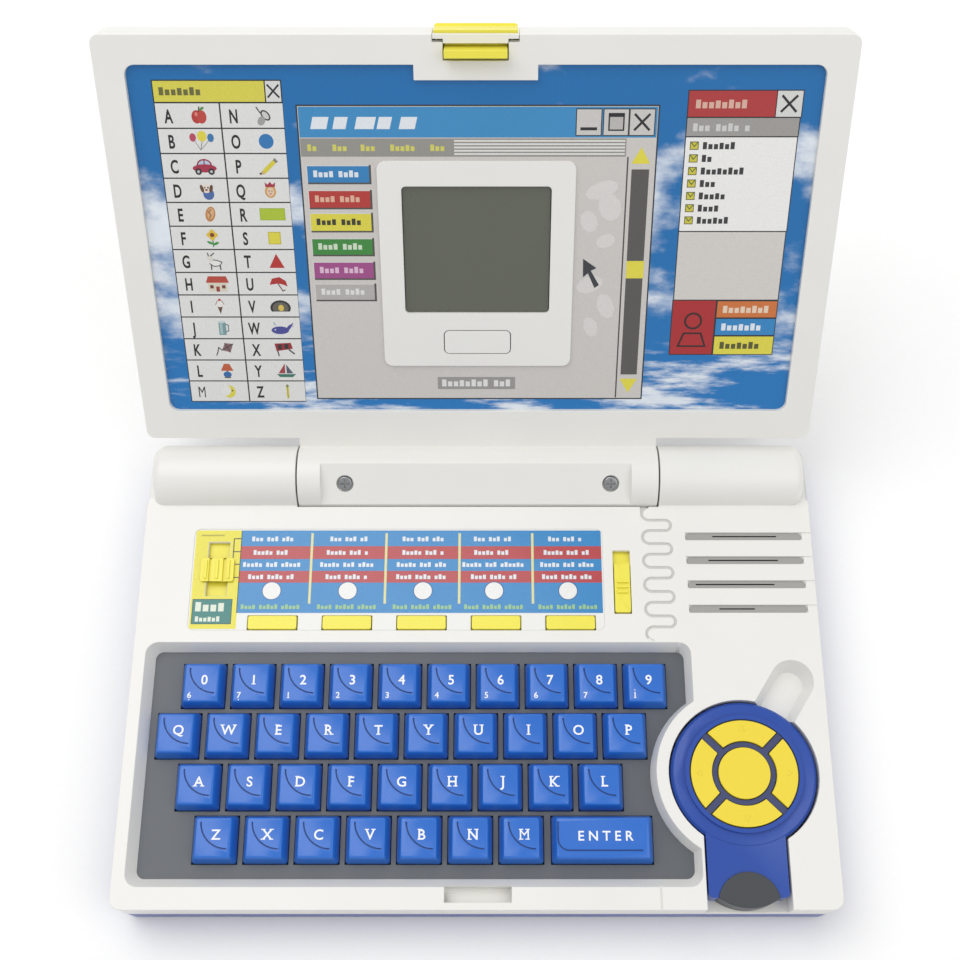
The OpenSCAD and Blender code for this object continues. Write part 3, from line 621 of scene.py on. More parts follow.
# Small pictures of the alphabet chart, by letter. A disc is its middle, its two half widths, its ink and
# its turn in degrees; a bar is its sides and its ink; a shape is its corners and its ink; a line is its
# points, its width and its ink.
PICTURES = {
    "A": (("disc", -0.8, -0.3, 1.7, 2.2, "BE3A34"), ("disc", 0.8, -0.3, 1.7, 2.2, "C8473E"),
          ("disc", -0.9, 0.6, 0.5, 0.7, "E88A80"), ("line", ((0, 1.5), (0.3, 3)), 0.35, "4A3A22"),
          ("disc", 1.1, 2.4, 0.9, 0.4, "4F9A3A", 30)),
    "B": (("line", ((-2.8, 1), (-0.6, -2.9), (0.4, 1), (-0.6, -2.9), (3, 0.8)), 0.2, "8A8A8A"),
          ("disc", -2.9, 1.3, 1.1, 1.4, "C24A64"), ("disc", 0.2, 1.7, 1.6, 1.8, "EBDD4A"),
          ("disc", 3.1, 1.2, 1.1, 1.4, "3A7CB4")),
    "C": (("disc", 0, 0.4, 2.6, 2.1, "A02848"), ("disc", 0, 0.6, 2.0, 1.4, "BFD4E6"),
          ("bar", -0.2, 0.2, 0, 2.2, "A02848"), ("disc", 0, -0.7, 4.1, 1.4, "B0304E"),
          ("disc", -2.2, -1.8, 1.1, 1.1, "26262A"), ("disc", 2.2, -1.8, 1.1, 1.1, "26262A"),
          ("disc", -2.2, -1.8, 0.5, 0.5, "C9C9CC"), ("disc", 2.2, -1.8, 0.5, 0.5, "C9C9CC")),
    "D": (("disc", 0.4, -1.2, 1.9, 2.0, "4C6FAE"), ("disc", -0.2, 0.8, 1.7, 1.6, "F2E6DA"),
          ("disc", -1.7, 0.7, 0.6, 1.4, "6B4A34", 15), ("disc", 1.4, 0.7, 0.6, 1.4, "6B4A34", -15),
          ("disc", -0.7, 1.1, 0.25, 0.3, "222222"), ("disc", 0.4, 1.1, 0.25, 0.3, "222222"),
          ("disc", -0.2, 0.3, 0.45, 0.3, "8A2E2E")),
    "E": (("disc", 0.2, 0.2, 1.7, 2.7, "C98A4E", -14), ("disc", 0.3, 0.4, 1.1, 2.0, "E6B888", -14),
          ("line", ((0.6, 1.8), (-0.4, 0.9), (0.4, -0.1), (-0.2, -1.2)), 0.35, "9A6230")),
    "F": (("line", ((0, 0.5), (0.1, -3)), 0.4, "2F7A34"), ("disc", -1, -1.6, 1.1, 0.45, "3E9A44", -25),
          ("disc", 1.1, -1.9, 1.1, 0.45, "3E9A44", 25), ("disc", 0, 1.2, 2.0, 1.1, "E8C83A"),
          ("disc", 0, 1.2, 1.1, 2.0, "E8C83A"), ("disc", 0, 1.2, 0.75, 0.75, "8A3A2A")),
    "G": (("disc", 0.2, -0.7, 2.2, 1.1, "F3F3F0"), ("line", ((-1.4, -1.4), (-1.5, -3)), 0.45, "5A5A5A"),
          ("line", ((1.6, -1.4), (1.8, -3)), 0.45, "5A5A5A"),
          ("line", ((-2, -0.8), (-0.5, -1.8), (1.6, -1.6), (2.4, -0.3), (0.6, 0.4), (-1, 0.6)), 0.3,
           "4A4A4A"),
          ("disc", -1.6, 1.1, 0.9, 1.2, "E6E2DA", 20), ("line", ((-1.4, 2), (-0.2, 3)), 0.35, "4A4A4A"),
          ("line", ((-2.1, 2), (-2.4, 3)), 0.35, "4A4A4A")),
    "H": (("bar", -3.4, 3.4, -2.8, 0.6, "E4DCC8"),
          ("shape", ((-4.1, 0.5), (4.1, 0.5), (3.2, 2.9), (-3.2, 2.9)), "C04A3A"),
          ("bar", -0.6, 0.6, -2.8, -0.9, "A03A30"), ("bar", -2.7, -1.5, -1.6, -0.4, "7A3A34"),
          ("bar", 1.5, 2.7, -1.6, -0.4, "7A3A34")),
    "I": (("shape", ((-1.0, 0.2), (0, -3), (1.0, 0.2)), "6A4A34"), ("disc", 0, 1.0, 1.5, 1.3, "F6F1EA"),
          ("line", ((-1.5, 0.7), (-0.9, 1.9), (0, 2.5), (0.9, 1.9), (1.5, 0.7)), 0.25, "8A7A6A"),
          ("disc", 0, 2.5, 0.45, 0.45, "C83A3A")),
    "J": (("bar", -1.3, 1.3, -2.6, 2.4, "7FA0A4"), ("bar", -0.9, 0.1, -2.2, 1.9, "A9C8C8"),
          ("line", ((1.3, 1.5), (2.2, 1.2), (2.2, -1), (1.3, -1.3)), 0.35, "5E7E84"),
          ("disc", 0, 2.4, 1.3, 0.45, "C9DCDC")),
    "K": (("shape", ((0.2, 2.6), (3.2, 2.3), (2.0, -1), (-1, -0.2)), "8C6A6A"),
          ("line", ((0.2, 2.6), (2.0, -1)), 0.3, "3A3A42"), ("line", ((3.2, 2.3), (-1, -0.2)), 0.3, "3A3A42"),
          ("line", ((-1, -0.2), (-2.2, 0.9), (-2.6, -0.8), (-3.2, -2.2)), 0.35, "44444C")),
    "L": (("shape", ((-2.3, 0), (2.3, 0), (1.0, 2.8), (-1.0, 2.8)), "C8603A"),
          ("bar", -0.3, 0.3, -0.8, 0.1, "6A5A3A"), ("disc", 0, -1.5, 1.5, 1.2, "2F6EAE"),
          ("bar", -1.2, 1.2, -2.9, -2.5, "6A5A3A")),
    "M": (("disc", 0, 0, 2.3, 2.5, "E6DC4E"), ("disc", -1.3, 0.5, 1.9, 2.1, "EFEFEC"),
          ("disc", 1.1, 0.4, 0.3, 0.4, "6A6A2A")),
    "N": (("line", ((-2.4, 2.8), (-1.2, 1.0)), 0.4, "3A3A42"), ("disc", 0.5, 0.2, 2.0, 1.3, "3A3A42", -50),
          ("disc", 0.5, 0.2, 1.5, 0.85, "D8D8D6", -50), ("disc", -1.0, -1.6, 1.2, 1.6, "A9A9A6", -30)),
    "O": (("disc", 0, 0, 2.5, 2.5, "2F7DBE"),),
    "P": (("shape", ((-2.2, -1.5), (-1.2, -2.6), (3.2, 1.6), (2.2, 2.7)), "E2D544"),
          ("shape", ((1.7, 2.1), (2.7, 1.0), (3.4, 1.6), (2.4, 2.8)), "8C8A86"),
          ("shape", ((-2.2, -1.5), (-3.2, -3), (-1.2, -2.6)), "D9B98A"),
          ("disc", -2.8, -2.5, 0.4, 0.3, "2E2E2E")),
    "Q": (("disc", 0, -0.3, 1.9, 2.2, "D9A24A"), ("disc", 0, -0.4, 1.3, 1.6, "F2D2B4"),
          ("shape", ((-1.6, 1.3), (1.6, 1.3), (1.8, 2.9), (0.8, 2.1), (0, 3.1), (-0.8, 2.1), (-1.8, 2.9)),
           "B0304A"),
          ("disc", -0.5, -0.1, 0.2, 0.2, "333333"), ("disc", 0.5, -0.1, 0.2, 0.2, "333333"),
          ("bar", -0.4, 0.4, -1.2, -0.95, "B0304A")),
    "R": (("bar", -4.4, 4.4, -2.0, 2.3, "A6BE2E"), ("bar", -4.1, 4.1, -1.7, 2.0, "B5CC36")),
    "S": (("bar", -2.2, 2.2, -2.2, 2.3, "CBBF3A"), ("bar", -1.9, 1.9, -1.9, 2.0, "E9DE48")),
    "T": (("shape", ((-2.7, -2.4), (2.7, -2.4), (0, 2.8)), "C0322F"),),
    "U": (("shape", ((-3.2, -0.3), (-2.2, 2.0), (0.4, 2.6), (2.6, 1.2), (3.2, -0.9), (1.6, -0.2),
                     (-0.2, 0.2)), "B82E2C"),
          ("line", ((-0.2, 0.2), (1.4, -2.6), (2.2, -2.2)), 0.35, "6E2A28")),
    "V": (("disc", 0, -0.6, 3.7, 2.9, "2C2C30"), ("disc", 0, -0.6, 2.9, 2.2, "6A665C"),
          ("bar", -3.9, 3.9, -3.6, -2.0, "EDEDEA"), ("disc", 0.2, -0.6, 1.0, 1.2, "E6C85A")),
    "W": (("disc", -0.8, -0.8, 3.2, 1.5, "4A4C9C"), ("disc", 2.4, 0.2, 1.6, 0.6, "4A4C9C", 50),
          ("shape", ((2.8, 1.2), (4.3, 2.2), (3.6, 1.0), (4.4, 0.3)), "4A4C9C"),
          ("line", ((-2.4, 1.2), (-2.9, 2.2)), 0.3, "7FA8D0"), ("disc", -2.6, -0.6, 0.25, 0.25, "F2F2F2")),
    "X": (("shape", ((-3.4, 2.4), (2.6, 2.7), (3.2, 0.4), (-2.8, -0.6)), "A02A30"),
          ("bar", -2.2, -0.8, 0.2, 2.0, "2C2C30"), ("bar", 0.2, 1.6, 0.4, 2.2, "2C2C30"),
          ("line", ((-2.4, -0.6), (-2.0, -2.4)), 0.4, "2C2C30"),
          ("line", ((1.8, 0), (3.6, -1.6)), 0.5, "2C2C30")),
    "Y": (("shape", ((-0.3, 2.9), (-2.8, -1.0), (-0.3, -1.0)), "A8404A"),
          ("shape", ((0.2, 2.6), (2.6, -1.0), (0.2, -1.0)), "5A5E70"),
          ("shape", ((-3.4, -1.3), (3.6, -1.3), (2.4, -2.5), (-2.4, -2.5)), "3A7A6A")),
    "Z": (("bar", -0.5, 0.5, -2.7, 2.7, "E4DA6A"), ("line", ((0, -2.7), (0, 2.7)), 0.25, "9A9440"),
          ("disc", 0, 2.3, 0.5, 0.6, "8A8A50")),
}


def chart(sheet):
    """Two columns of letters with their pictures, under a title bar."""
    left, middle, right = -107.0, -85.3, -64.1
    top, bottom, rows = 139.1, 30.2, 13
    sheet.boxed(left, -69.5, top, 146.6, "E3DB52", INK, 0.4, 1)
    sheet.boxed(-69.9, right, top, 146.6, "E6E6E2", INK, 0.4, 1)
    sheet.words(-104.8, -87, 142.9, 2.6, "6F6D3A", 3, (7, 5))
    sheet.cross(-68.8, -65.2, 141, 144.9, 0.6, 3)
    sheet.bar(left, right, bottom, top, INK, 2)
    step = (top - bottom) / rows
    for i, (sign, shapes) in enumerate(PICTURES.items()):
        x0, x1 = (left, middle) if i < rows else (middle, right)
        y1 = top - i % rows * step
        sheet.bar(x0 + 0.35, x1 - 0.15, y1 - step + 0.35, y1 - 0.1, "ECECE9", 3)
        sheet.text(sign, x0 + 4.4, y1 - step / 2, 4.6, "1E1F22", 4, 0.62)
        sheet.icon(shapes, x0 + 14.6, y1 - step / 2, 4)


def main_window(sheet):
    """The large window around the display."""
    hole = (-33, 33, 46, 119)
    sheet.ring((-60.0, 61.2, 31.3, 138.6), hole, "2B3138", 1)
    sheet.ring((-59.5, 60.7, 31.8, 138.1), hole, "D8D4CF", 2)
    sheet.bar(-59.3, 60.5, 127.8, 137.9, "3C93CC", 3)
    y0, y1 = 130.6, 134.6
    for i, width in enumerate((6, 5, 7, 5, 6)):
        x = -55.6 + 7.4 * i
        sheet.shape([(x, y0), (x + width - 0.6, y0), (x + width + 0.4, y1), (x + 1.0, y1)], "EDF3F8", 4)
    for x in (33.3, 42.4, 51.1):
        sheet.boxed(x, x + 8.8, 128.3, 137.4, "D6D3CF", "33383E", 0.35, 4)
    sheet.bar(34.9, 40.5, 130.2, 131.2, INK, 6)
    sheet.boxed(44.2, 49.6, 130.0, 135.9, "C4C1BD", INK, 0.5, 6)
    sheet.bar(44.2, 49.6, 134.6, 135.9, INK, 8)
    sheet.cross(53.1, 57.9, 130.4, 135.4, 0.8, 6)
    sheet.bar(-59.3, 50.6, 121.4, 127.5, "9C9A93", 3)
    for x0, x1 in ((-57, -52), (-48.5, -43), (-39, -33), (-29, -19.5), (-15.5, -9.5)):
        sheet.words(x0, x1, 124.4, 2.2, "DCD866", 4, (12,))
    for y in (122.0, 123.1, 124.2, 125.3, 126.4):
        sheet.bar(-7.5, 50.2, y, y + 0.6, "ECEAE6", 4)
    pills = (("2F86C4", 118.6, 112.6, "EAF2F8"), ("BE3A34", 110.1, 103.9, "EBB9A0"),
             ("E8DE4A", 102.1, 95.7, "3A3A2A"), ("3F8F3E", 93.1, 87.1, "D8EAD0"),
             ("A8508F", 84.6, 78.4, "E9C3DC"), ("BDBAB6", 76.5, 70.4, "ECEBE8"))
    for code, y1, y0, word in pills:
        sheet.bar(-57.6, -35.9, y0 - 0.6, y1, "55524F", 3)
        sheet.bar(-58.0, -36.6, y0, y1, "E2E0DC", 4)
        sheet.bar(-57.6, -36.6, y0, y1 - 0.4, code, 5)
        sheet.words(-55.6, -38.2, (y0 + y1) / 2, 2.3, word, 6, (4, 5, 7))
    sheet.boxed(-15.2, 14.3, 35.0, 40.7, "A19E9A", "D8D6D2", 0.4, 3)
    sheet.words(-13.2, 12.8, 37.9, 2.8, "ECECEA", 5, (8, 6))
    patches = ((43, 110, 6, 3), (46, 104, 4, 5), (39, 99, 3, 4), (45, 92, 3.5, 2.5), (40, 76, 5, 3),
               (46, 68, 3, 5), (41, 60, 2.5, 4))
    for i, (x, y, rx, ry) in enumerate(patches):
        sheet.disc(x, y, rx, ry, "E4E1DD", 3 + i % 2, 20, 9)
    sheet.bar(51.1, 51.6, 32.0, 121.3, "4A4845", 3)
    sheet.bar(52.8, 58.8, 41.3, 117.1, "5C5A58", 3)
    sheet.bar(52.8, 59.0, 78.4, 84.8, "EDE24A", 4)
    for y0, y1 in ((119.0, 124.6), (39.6, 34.0)):
        sheet.shape([(52.6, y0), (59.0, y0), (55.8, y1)], "EDE24A", 4)
    arrow = ((0, 0), (4.9, -3.4), (2.9, -4.4), (6.0, -9.7), (4.4, -10.8), (1.9, -5.3), (0.2, -6.8))
    sheet.icon((("shape", arrow, "3A3C42"),), 37.4, 85.6, 5)


def side_window(sheet):
    """The small window at the right, with its list and three coloured rows."""
    for x0, x1, y0, y1, code, level in (
        (70.2, 99.9, 134.3, 143.4, "B8393A", 1), (99.5, 108.6, 134.3, 143.4, "E2E2DE", 1),
        (70.2, 108.3, 127.9, 134.6, "A7A4A0", 1), (70.2, 108.2, 95.3, 128.2, "FAF9F6", 1),
        (70.2, 108.0, 70.1, 95.6, "DEDAD4", 1), (70.0, 86.0, 49.1, 70.4, "B5282C", 3),
    ):
        sheet.boxed(x0, x1, y0, y1, code, FRAME_INK, 0.35, level)
    sheet.words(73, 92, 138.8, 2.8, "E3B9A8", 3, (9,))
    sheet.cross(101.6, 106.4, 136.4, 141.4, 0.8, 3)
    sheet.words(72.6, 93, 131.2, 2.6, "D8D8D6", 3, (3, 4, 5))
    for i, size in enumerate((7, 3, 9, 4, 6, 5, 7)):
        y = 125.1 - i * 4.28
        sheet.boxed(72.0, 75.0, y - 1.4, y + 1.4, "D9CE4A", "6E6A2E", 0.3, 3)
        sheet.line(((72.5, y + 1), (73.5, y - 0.3), (74.6, y + 1.1)), 0.3, "3F6B2E", 5)
        sheet.words(76.4, 76.4 + size * 1.75, y, 2.4, "3A3A3C", 3, (size,))
    sheet.disc(78.0, 62.3, 3.3, 3.3, "3A1A1E", 5)
    sheet.disc(78.0, 62.3, 2.5, 2.5, "B5282C", 6)
    sheet.shape([(72.6, 52.2), (83.4, 52.2), (81.4, 57.9), (74.6, 57.9)], "3A1A1E", 5)
    sheet.shape([(73.6, 52.9), (82.4, 52.9), (80.8, 57.2), (75.2, 57.2)], "B5282C", 6)
    rows = (("D8793A", 70.1, 63.4, "F1D9C0", 11), ("2E8BCB", 63.4, 56.6, "EAF3FA", 7),
            ("E9DF4C", 56.6, 49.1, "5A5A2C", 7))
    for code, y1, y0, word, size in rows:
        sheet.boxed(86.0, 108.0, y0, y1, code, FRAME_INK, 0.3, 3)
        sheet.words(88.4, 105.6, (y0 + y1) / 2, 2.7, word, 5, (size,))


class AddPictureSheet(bpy.types.Operator):
    """The picture behind the bezel: sky, alphabet chart and two windows, all on one film"""
    bl_idname = "toylaptop.picture_sheet"
    bl_label = "Picture sheet"

    def execute(self, context):
        thick = sizes("film") / MM
        low = SHEET_T + FILM_GAP
        bm = film((-114.9, 114.9, 27.2, 151.5), [(-27.2, 27.2, 48.4, 113)], low, thick, 3.3)
        uv = bm.loops.layers.uv.new("film")
        for face in bm.faces:
            for loop in face.loops:
                loop[uv].uv = loop.vert.co.xy / 100
        sheet = Print(low + thick)
        chart(sheet)
        main_window(sheet)
        side_window(sheet)
        merge(bm, sheet.bm)
        films = [laminated("laminated_sky_print", printed_sky), laminated("laminated_print", printed_ink)]
        piece("picture_sheet", bm, "lid", films, LID, degrees=20)
        return {"FINISHED"}


class AddLabel(bpy.types.Operator):
    """Printed label around the level slider and the mode buttons"""
    bl_idname = "toylaptop.label"
    bl_label = "Deck label"

    def execute(self, context):
        thick = sizes("film") / MM
        z = DECK_Z - LABEL_DEPTH + FILM_GAP
        x0, x1, y0, y1 = LABEL
        holes = [LEVEL_SLOT]
        for i in range(1, 6):
            low, high = box_mm(f"mode_button_{i}")
            x = (low.x + high.x) / 2
            holes.append((x - 9.3, x + 9.3, MODE_Y - 2.95, MODE_Y + 2.95))
        bm = film((x0 + 0.1, x1 - 0.1, y0 + 0.1, y1 - 0.1), holes, z, thick, 2.4)
        sheet = Print(z + thick)
        top = y1 - 0.5
        sheet.ring((x0 + 0.5, -88.4, y0 + 0.5, top), LEVEL_SLOT, "EFE43C", 1)
        sheet.bar(-88.6, x1 - 0.5, 19.2, top, "2E8CCC", 1)
        for high, low in ((45.4, 40.3), (35.6, 31.0)):
            sheet.bar(-88.4, x1 - 0.5, low, high, "BE4146", 2)
        for x in (-62, -34.2, -6.8, 20.4):
            sheet.bar(x - 0.45, x + 0.45, 22.8, 50.6, "E6E2A0", 3)
        rows = ((48.3, 8.4, (3, 3, 6)), (42.9, 8.8, (5, 3, 6)), (38.1, 11.8, (5, 3, 7)), (33.3, 10.0, (4, 4)))
        shares = (1.0, 0.86, 0.95, 0.9, 0.84)
        for i, x in enumerate((-76.1, -48.0, -20.2, 6.1, 33.4)):
            sheet.disc(x, 27.8, 3.6, 3.6, "1F5F96", 3, 0, 32)
            sheet.disc(x, 27.8, 3.3, 3.3, "F5F5F2", 4, 0, 32)
            for row, (y, half, lengths) in enumerate(rows):
                half *= shares[(i + row) % 5]
                sheet.words(x - half, x + half, y, 1.9, "E8EEF2", 4, lengths)
            sheet.words(x - 11, x + 11, 21.6, 1.8, "9CCB8E", 4, (4, 5, 7))
        sheet.boxed(-105.0, -90.3, 14.9, 24.6, "1F7F78", "135650", 0.3, 2)
        sheet.words(-103.8, -91.6, 21.6, 3.6, "E6EEDC", 4, (4,))
        sheet.words(-103.6, -91.6, 16.9, 2.0, "E6EEDC", 4, (6,))
        rail = -91.2
        for y in (48.4, 43.2, 38.2, 33.0):
            sheet.bar(rail, -88.4, y - 0.2, y + 0.2, "3A3A2A", 3)
        sheet.bar(rail - 0.2, rail + 0.2, 33.0, 48.4, "3A3A2A", 3)
        sheet.bar(-103.6, -95, 49.4, 50.0, "B5AC34", 2)
        merge(bm, sheet.bm)
        paper = moulded("white_label_paper", linear("EDEDE9"), 0.35, 0.5, 0.01)
        inked = laminated("laminated_label", printed_ink)
        piece("deck_label", bm, "base", [paper, inked], degrees=20)
        return {"FINISHED"}


# ---- camera, light and floor


class AddStage(bpy.types.Operator):
    """Camera, lights and floor"""
    bl_idname = "toylaptop.stage"
    bl_label = "Stage"

    def execute(self, context):
        scene = bpy.context.scene
        data = bpy.data.cameras.new("Camera")
        data.sensor_width = 36
        data.lens = 50.133
        data.shift_x = -0.012
        data.shift_y = 0.067
        camera = bpy.data.objects.new("Camera", data)
        camera.location = (0.00514, -0.13062, 0.49382)
        camera.rotation_euler = (math.radians(20.69), 0, 0)
        scene.collection.objects.link(camera)
        scene.camera = camera

        bm = bmesh.new()
        bmesh.ops.create_grid(bm, x_segments=8, y_segments=8, size=3000)
        floor = temporary(bm, "floor")
        floor.data.transform(DECK)
        # Matt white paint with faint specks: it shows a soft shadow and no reflections
        material, tree, shader = surface("painted_table", {"Roughness": 0.7})
        specks = {0: grain(tree, 2.0, 4.0), 6: linear("FFFFFF"), 7: linear("FBFBFA")}
        specks = add(tree, "Mix", specks, 2, data_type="RGBA")
        tree.links.new(specks, shader.inputs["Base Color"])
        floor.data.materials.append(material)

        world = bpy.data.worlds.new("studio")
        world.use_nodes = True
        background = world.node_tree.nodes["Background"]
        background.inputs["Color"].default_value = linear("FBFBFC")
        background.inputs["Strength"].default_value = 0.62
        scene.world = world
        for name, place, size, power in (
            ("key light", (-0.45, 0.3, 1.1), 0.9, 5.6),
            ("fill light", (0.7, -0.3, 1.0), 0.9, 3.0),
            ("rear light", (0.1, 1.0, 0.7), 0.7, 1.2),
        ):
            data = bpy.data.lights.new(name, "AREA")
            data.size = size
            data.energy = power
            light = bpy.data.objects.new(name, data)
            light.location = place
            aim = Vector((0, 0, 0.05)) - Vector(place)
            light.rotation_euler = aim.to_track_quat("-Z", "Y").to_euler()
            scene.collection.objects.link(light)
        scene.view_settings.view_transform = "Standard"
        return {"FINISHED"}


# ---- base


class AddBaseShells(bpy.types.Operator):
    """The deck, the tray below it, the battery cover and the pocket of the catch slot"""
    bl_idname = "toylaptop.base_shells"
    bl_label = "Base shells"

    def execute(self, context):
        white = moulded("abs_white_shell", colours("shell"), 0.34)
        blue = moulded("abs_blue_tray", colours("tray"), 0.3)
        edge = sizes("shell_edge")
        # The shell's white darkened: painted shade on the floor and walls of the winding groove.
        groove = moulded("abs_white_groove", shade(colours("shell"), 0.72), 0.45)

        # Faces of the groove's floor and walls take the second material, the painted shade.
        def paint(corners):
            return int(all(
                GROOVE_SIDES[0] < c.x < GROOVE_SIDES[1] and c.y > GROOVE_FRONT
                and GROOVE_LEVELS[0] < c.z < GROOVE_LEVELS[1] for c in corners
            ))

        bm = node_mesh("base_top_shell", (), paint)
        weight = bm.edges.layers.float.new("bevel_weight_edge")
        x0, x1, y0, y1 = GROOVE_END
        for line in bm.edges:
            middle = (line.verts[0].co + line.verts[1].co) / 2
            spared = x0 < middle.x < x1 and y0 < middle.y < y1
            line[weight] = float(not spared and line.calc_face_angle(0) > SHARP)
        shell = piece("deck_shell", bm, "base", [white, groove], replaces=("base_top_shell",))
        round_edges(shell, edge).modifiers["edges"].limit_method = "WEIGHT"
        x0, x1, y0, y1 = CATCH
        over = 0.6
        pocket = block((x0 - over, y0 - over, DECK_Z - 5.9), (x1 + over, y1 + over, DECK_Z - 5.1))
        piece("catch_pocket", pocket, "base", [white])
        moulded_copy("base_bottom_shell", "tray_shell", "base", [blue], edge)
        moulded_copy("battery_door", "battery_cover", "base", [blue])
        return {"FINISHED"}


class AddKeyboardPanel(bpy.types.Operator):
    """The sunken grey panel around the keys"""
    bl_idname = "toylaptop.keyboard_panel"
    bl_label = "Keyboard panel"

    def execute(self, context):
        grey = moulded("abs_textured_panel", colours("panel"), 0.42, 0.5, 0.06)
        moulded_copy("keyboard_panel", "key_tray", "base", [grey], 0.0)
        return {"FINISHED"}


class AddSpeakerSlots(bpy.types.Operator):
    """Grey sheets of painted shade on the floor of each speaker slot, open along a narrow slit"""
    bl_idname = "toylaptop.speaker_slots"
    bl_label = "Speaker slots"

    def execute(self, context):
        # A grey sheet on each slot's floor: painted shade in the shallow slots.
        slot_floor_shade = moulded("woven_speaker_cloth", linear("A5A4A0"), 0.8, 0.4, 0.05)
        x0, x1 = SLOT_X
        for i, (start, end) in enumerate(SLITS):
            y = SLOT_Y + i * SLOT_PITCH
            bm = block((x0 + 0.1, y - 1.4, DECK_Z - 0.98), (x1 - 0.1, y + 1.4, DECK_Z - 0.8), 1.3)
            bm = cut(bm, block((start, y - 0.1, DECK_Z - 3), (end, y + 0.4, DECK_Z)))
            piece(f"speaker_cloth_{i + 1}", bm, "base", [slot_floor_shade])
        return {"FINISHED"}


class AddInsides(bpy.types.Operator):
    """The board, speaker, cells and screws, seen only through gaps and from below"""
    bl_idname = "toylaptop.insides"
    bl_label = "Insides"

    def execute(self, context):
        board = moulded("solder_mask", linear("1F6B43"), 0.35)
        cone = moulded("paper_cone", linear("26272A"), 0.75, 0.6, 0.08)
        steel = plated_steel("zinc_plated_steel", "A7A9AC", 0.32)
        cell = plated_steel("nickel_plated_can", "B9BCC2", 0.25)
        moulded_copy("main_board", "circuit_board", "base", [board], 0.0001)
        moulded_copy("speaker", "loudspeaker", "base", [cone])
        moulded_copy("base_screws", "case_screws", "base", [steel], 0.0001)
        moulded_copy("battery_cells", "cells", "base", [cell])
        return {"FINISHED"}


def tapered_cap(width, depth, height):
    """Key cap with its top at zero: a block drawn in step by step."""
    level = -KEY_STEPS[0][0]
    bm = block((-width / 2, -depth / 2, -height), (width / 2, depth / 2, level), KEY_CORNER)
    top = highest(bm)
    last = (width, depth, level)
    for drop, inset_x, inset_y in KEY_STEPS[1:]:
        size = (width - inset_x, depth - inset_y, -drop)
        top = bmesh.ops.extrude_discrete_faces(bm, faces=[top])["faces"][0]
        bmesh.ops.scale(bm, vec=(size[0] / last[0], size[1] / last[1], 1), verts=top.verts)
        bmesh.ops.translate(bm, vec=(0, 0, size[2] - last[2]), verts=top.verts)
        last = size
    return bm


def quarter_line(centre, radius):
    """Cutter for an engraved quarter circle, from its left to its front: a small upright face, spun."""
    bm = bmesh.new()
    inner, outer = (radius - LINE_WIDTH / 2, radius + LINE_WIDTH / 2)
    here = Matrix.Translation((*centre, 0)) @ Matrix.Rotation(math.pi, 4, "Z")
    corners = ((inner, -LINE_DEPTH), (outer, -LINE_DEPTH), (outer, 1), (inner, 1))
    face = bm.faces.new([bm.verts.new(here @ Vector((r, 0, z))) for r, z in corners])
    bmesh.ops.spin(bm, geom=[face, *face.verts, *face.edges], cent=(*centre, 0), axis=(0, 0, 1),
                   angle=math.pi / 2, steps=10, use_merge=False)
    bmesh.ops.recalc_face_normals(bm, faces=bm.faces)
    return bm


def engrave(bm, *cutters):
    """Cuts lines into the top of a cap. Their floors take the third material, the keys' blue darkened as
    painted shade.
    """
    for cutter in cutters:
        bm = cut(bm, cutter)
    for face in bm.faces:
        if face.normal.z > 0.9 and abs(face.calc_center_median().z + LINE_DEPTH) < 0.1:
            face.material_index = 2
    return bm


def wide_key(width, depth, height):
    """The long cap, whose engraved line runs down its left side and along its front."""
    # The centre of the line's corner, 6 mm from the cap's left end
    x, y = -width / 2 + 6.0, -0.4
    side, foot, half = x - WIDE_RADIUS, y - WIDE_RADIUS, LINE_WIDTH / 2
    return engrave(
        tapered_cap(width, depth, height),
        quarter_line((x, y), WIDE_RADIUS),
        block((side - half, y, -LINE_DEPTH), (side + half, 5.6, 1)),
        block((x, foot - half, -LINE_DEPTH), (width / 2 - 4.0, foot + half, 1)),
    )


class AddKeys(bpy.types.Operator):
    """All 37 key caps, each with its engraved line and its printed legend"""
    bl_idname = "toylaptop.keys"
    bl_label = "Key caps"

    def execute(self, context):
        blue = moulded("abs_blue_keys", colours("keys"), 0.24, 0.3, 0.015)
        white = moulded("pad_printed_white", linear("F4F6FA"), 0.45)
        # The keys' blue darkened: painted shade on the floors of the engraved lines.
        dark = moulded("abs_blue_groove", shade(colours("keys"), 0.45), 0.5)
        height = sizes("legend") / MM
        square = None
        for name in sorted(n for n in frame["nodes"] if n.startswith("key_")):
            low, high = box_mm(name)
            size = high - low - Vector((0, LIP, 0))
            sign = name[4:].upper()
            if sign == "ENTER":
                bm = wide_key(*size)
                marks = [(legend("E N T E R", height * 0.95), 0.8, 0.8)]
            else:
                if square is None:
                    square = engrave(tapered_cap(*size), quarter_line(ARC_CENTRE, ARC_RADIUS))
                bm = square.copy()
                marks = [(legend(sign, height), 1.0, 1.2)]
            if sign in TONES:
                tone, dot = TONES[sign]
                x, y = TONE_PLACE
                marks.append((legend(tone, height * TONE_SHARE), x, y))
                if dot:
                    marks.append((block((-0.2, -0.2, 0), (0.2, 0.2, 0.03), 0.15), x, y + dot * 1.8))
            for mark, x, y in marks:
                bmesh.ops.translate(mark, vec=(x, y, 0), verts=mark.verts)
                merge(bm, mark, slot=1)
            place = ((low.x + high.x) / 2, (low.y + high.y) / 2, high.z)
            bmesh.ops.translate(bm, vec=place, verts=bm.verts)
            piece("cap_" + name[4:], bm, name, [blue, white, dark], replaces=(name,), degrees=25)
        square.free()
        return {"FINISHED"}


def add_strip(made, low, high):
    """Adds the sliding strip that closes the slot under a knob."""
    strip = block(low, high, 0.8)
    bmesh.ops.transform(strip, matrix=DECK, verts=strip.verts)
    bm = bmesh.new()
    bm.from_mesh(made.data)
    merge(bm, strip)
    bm.to_mesh(made.data)
    bm.free()


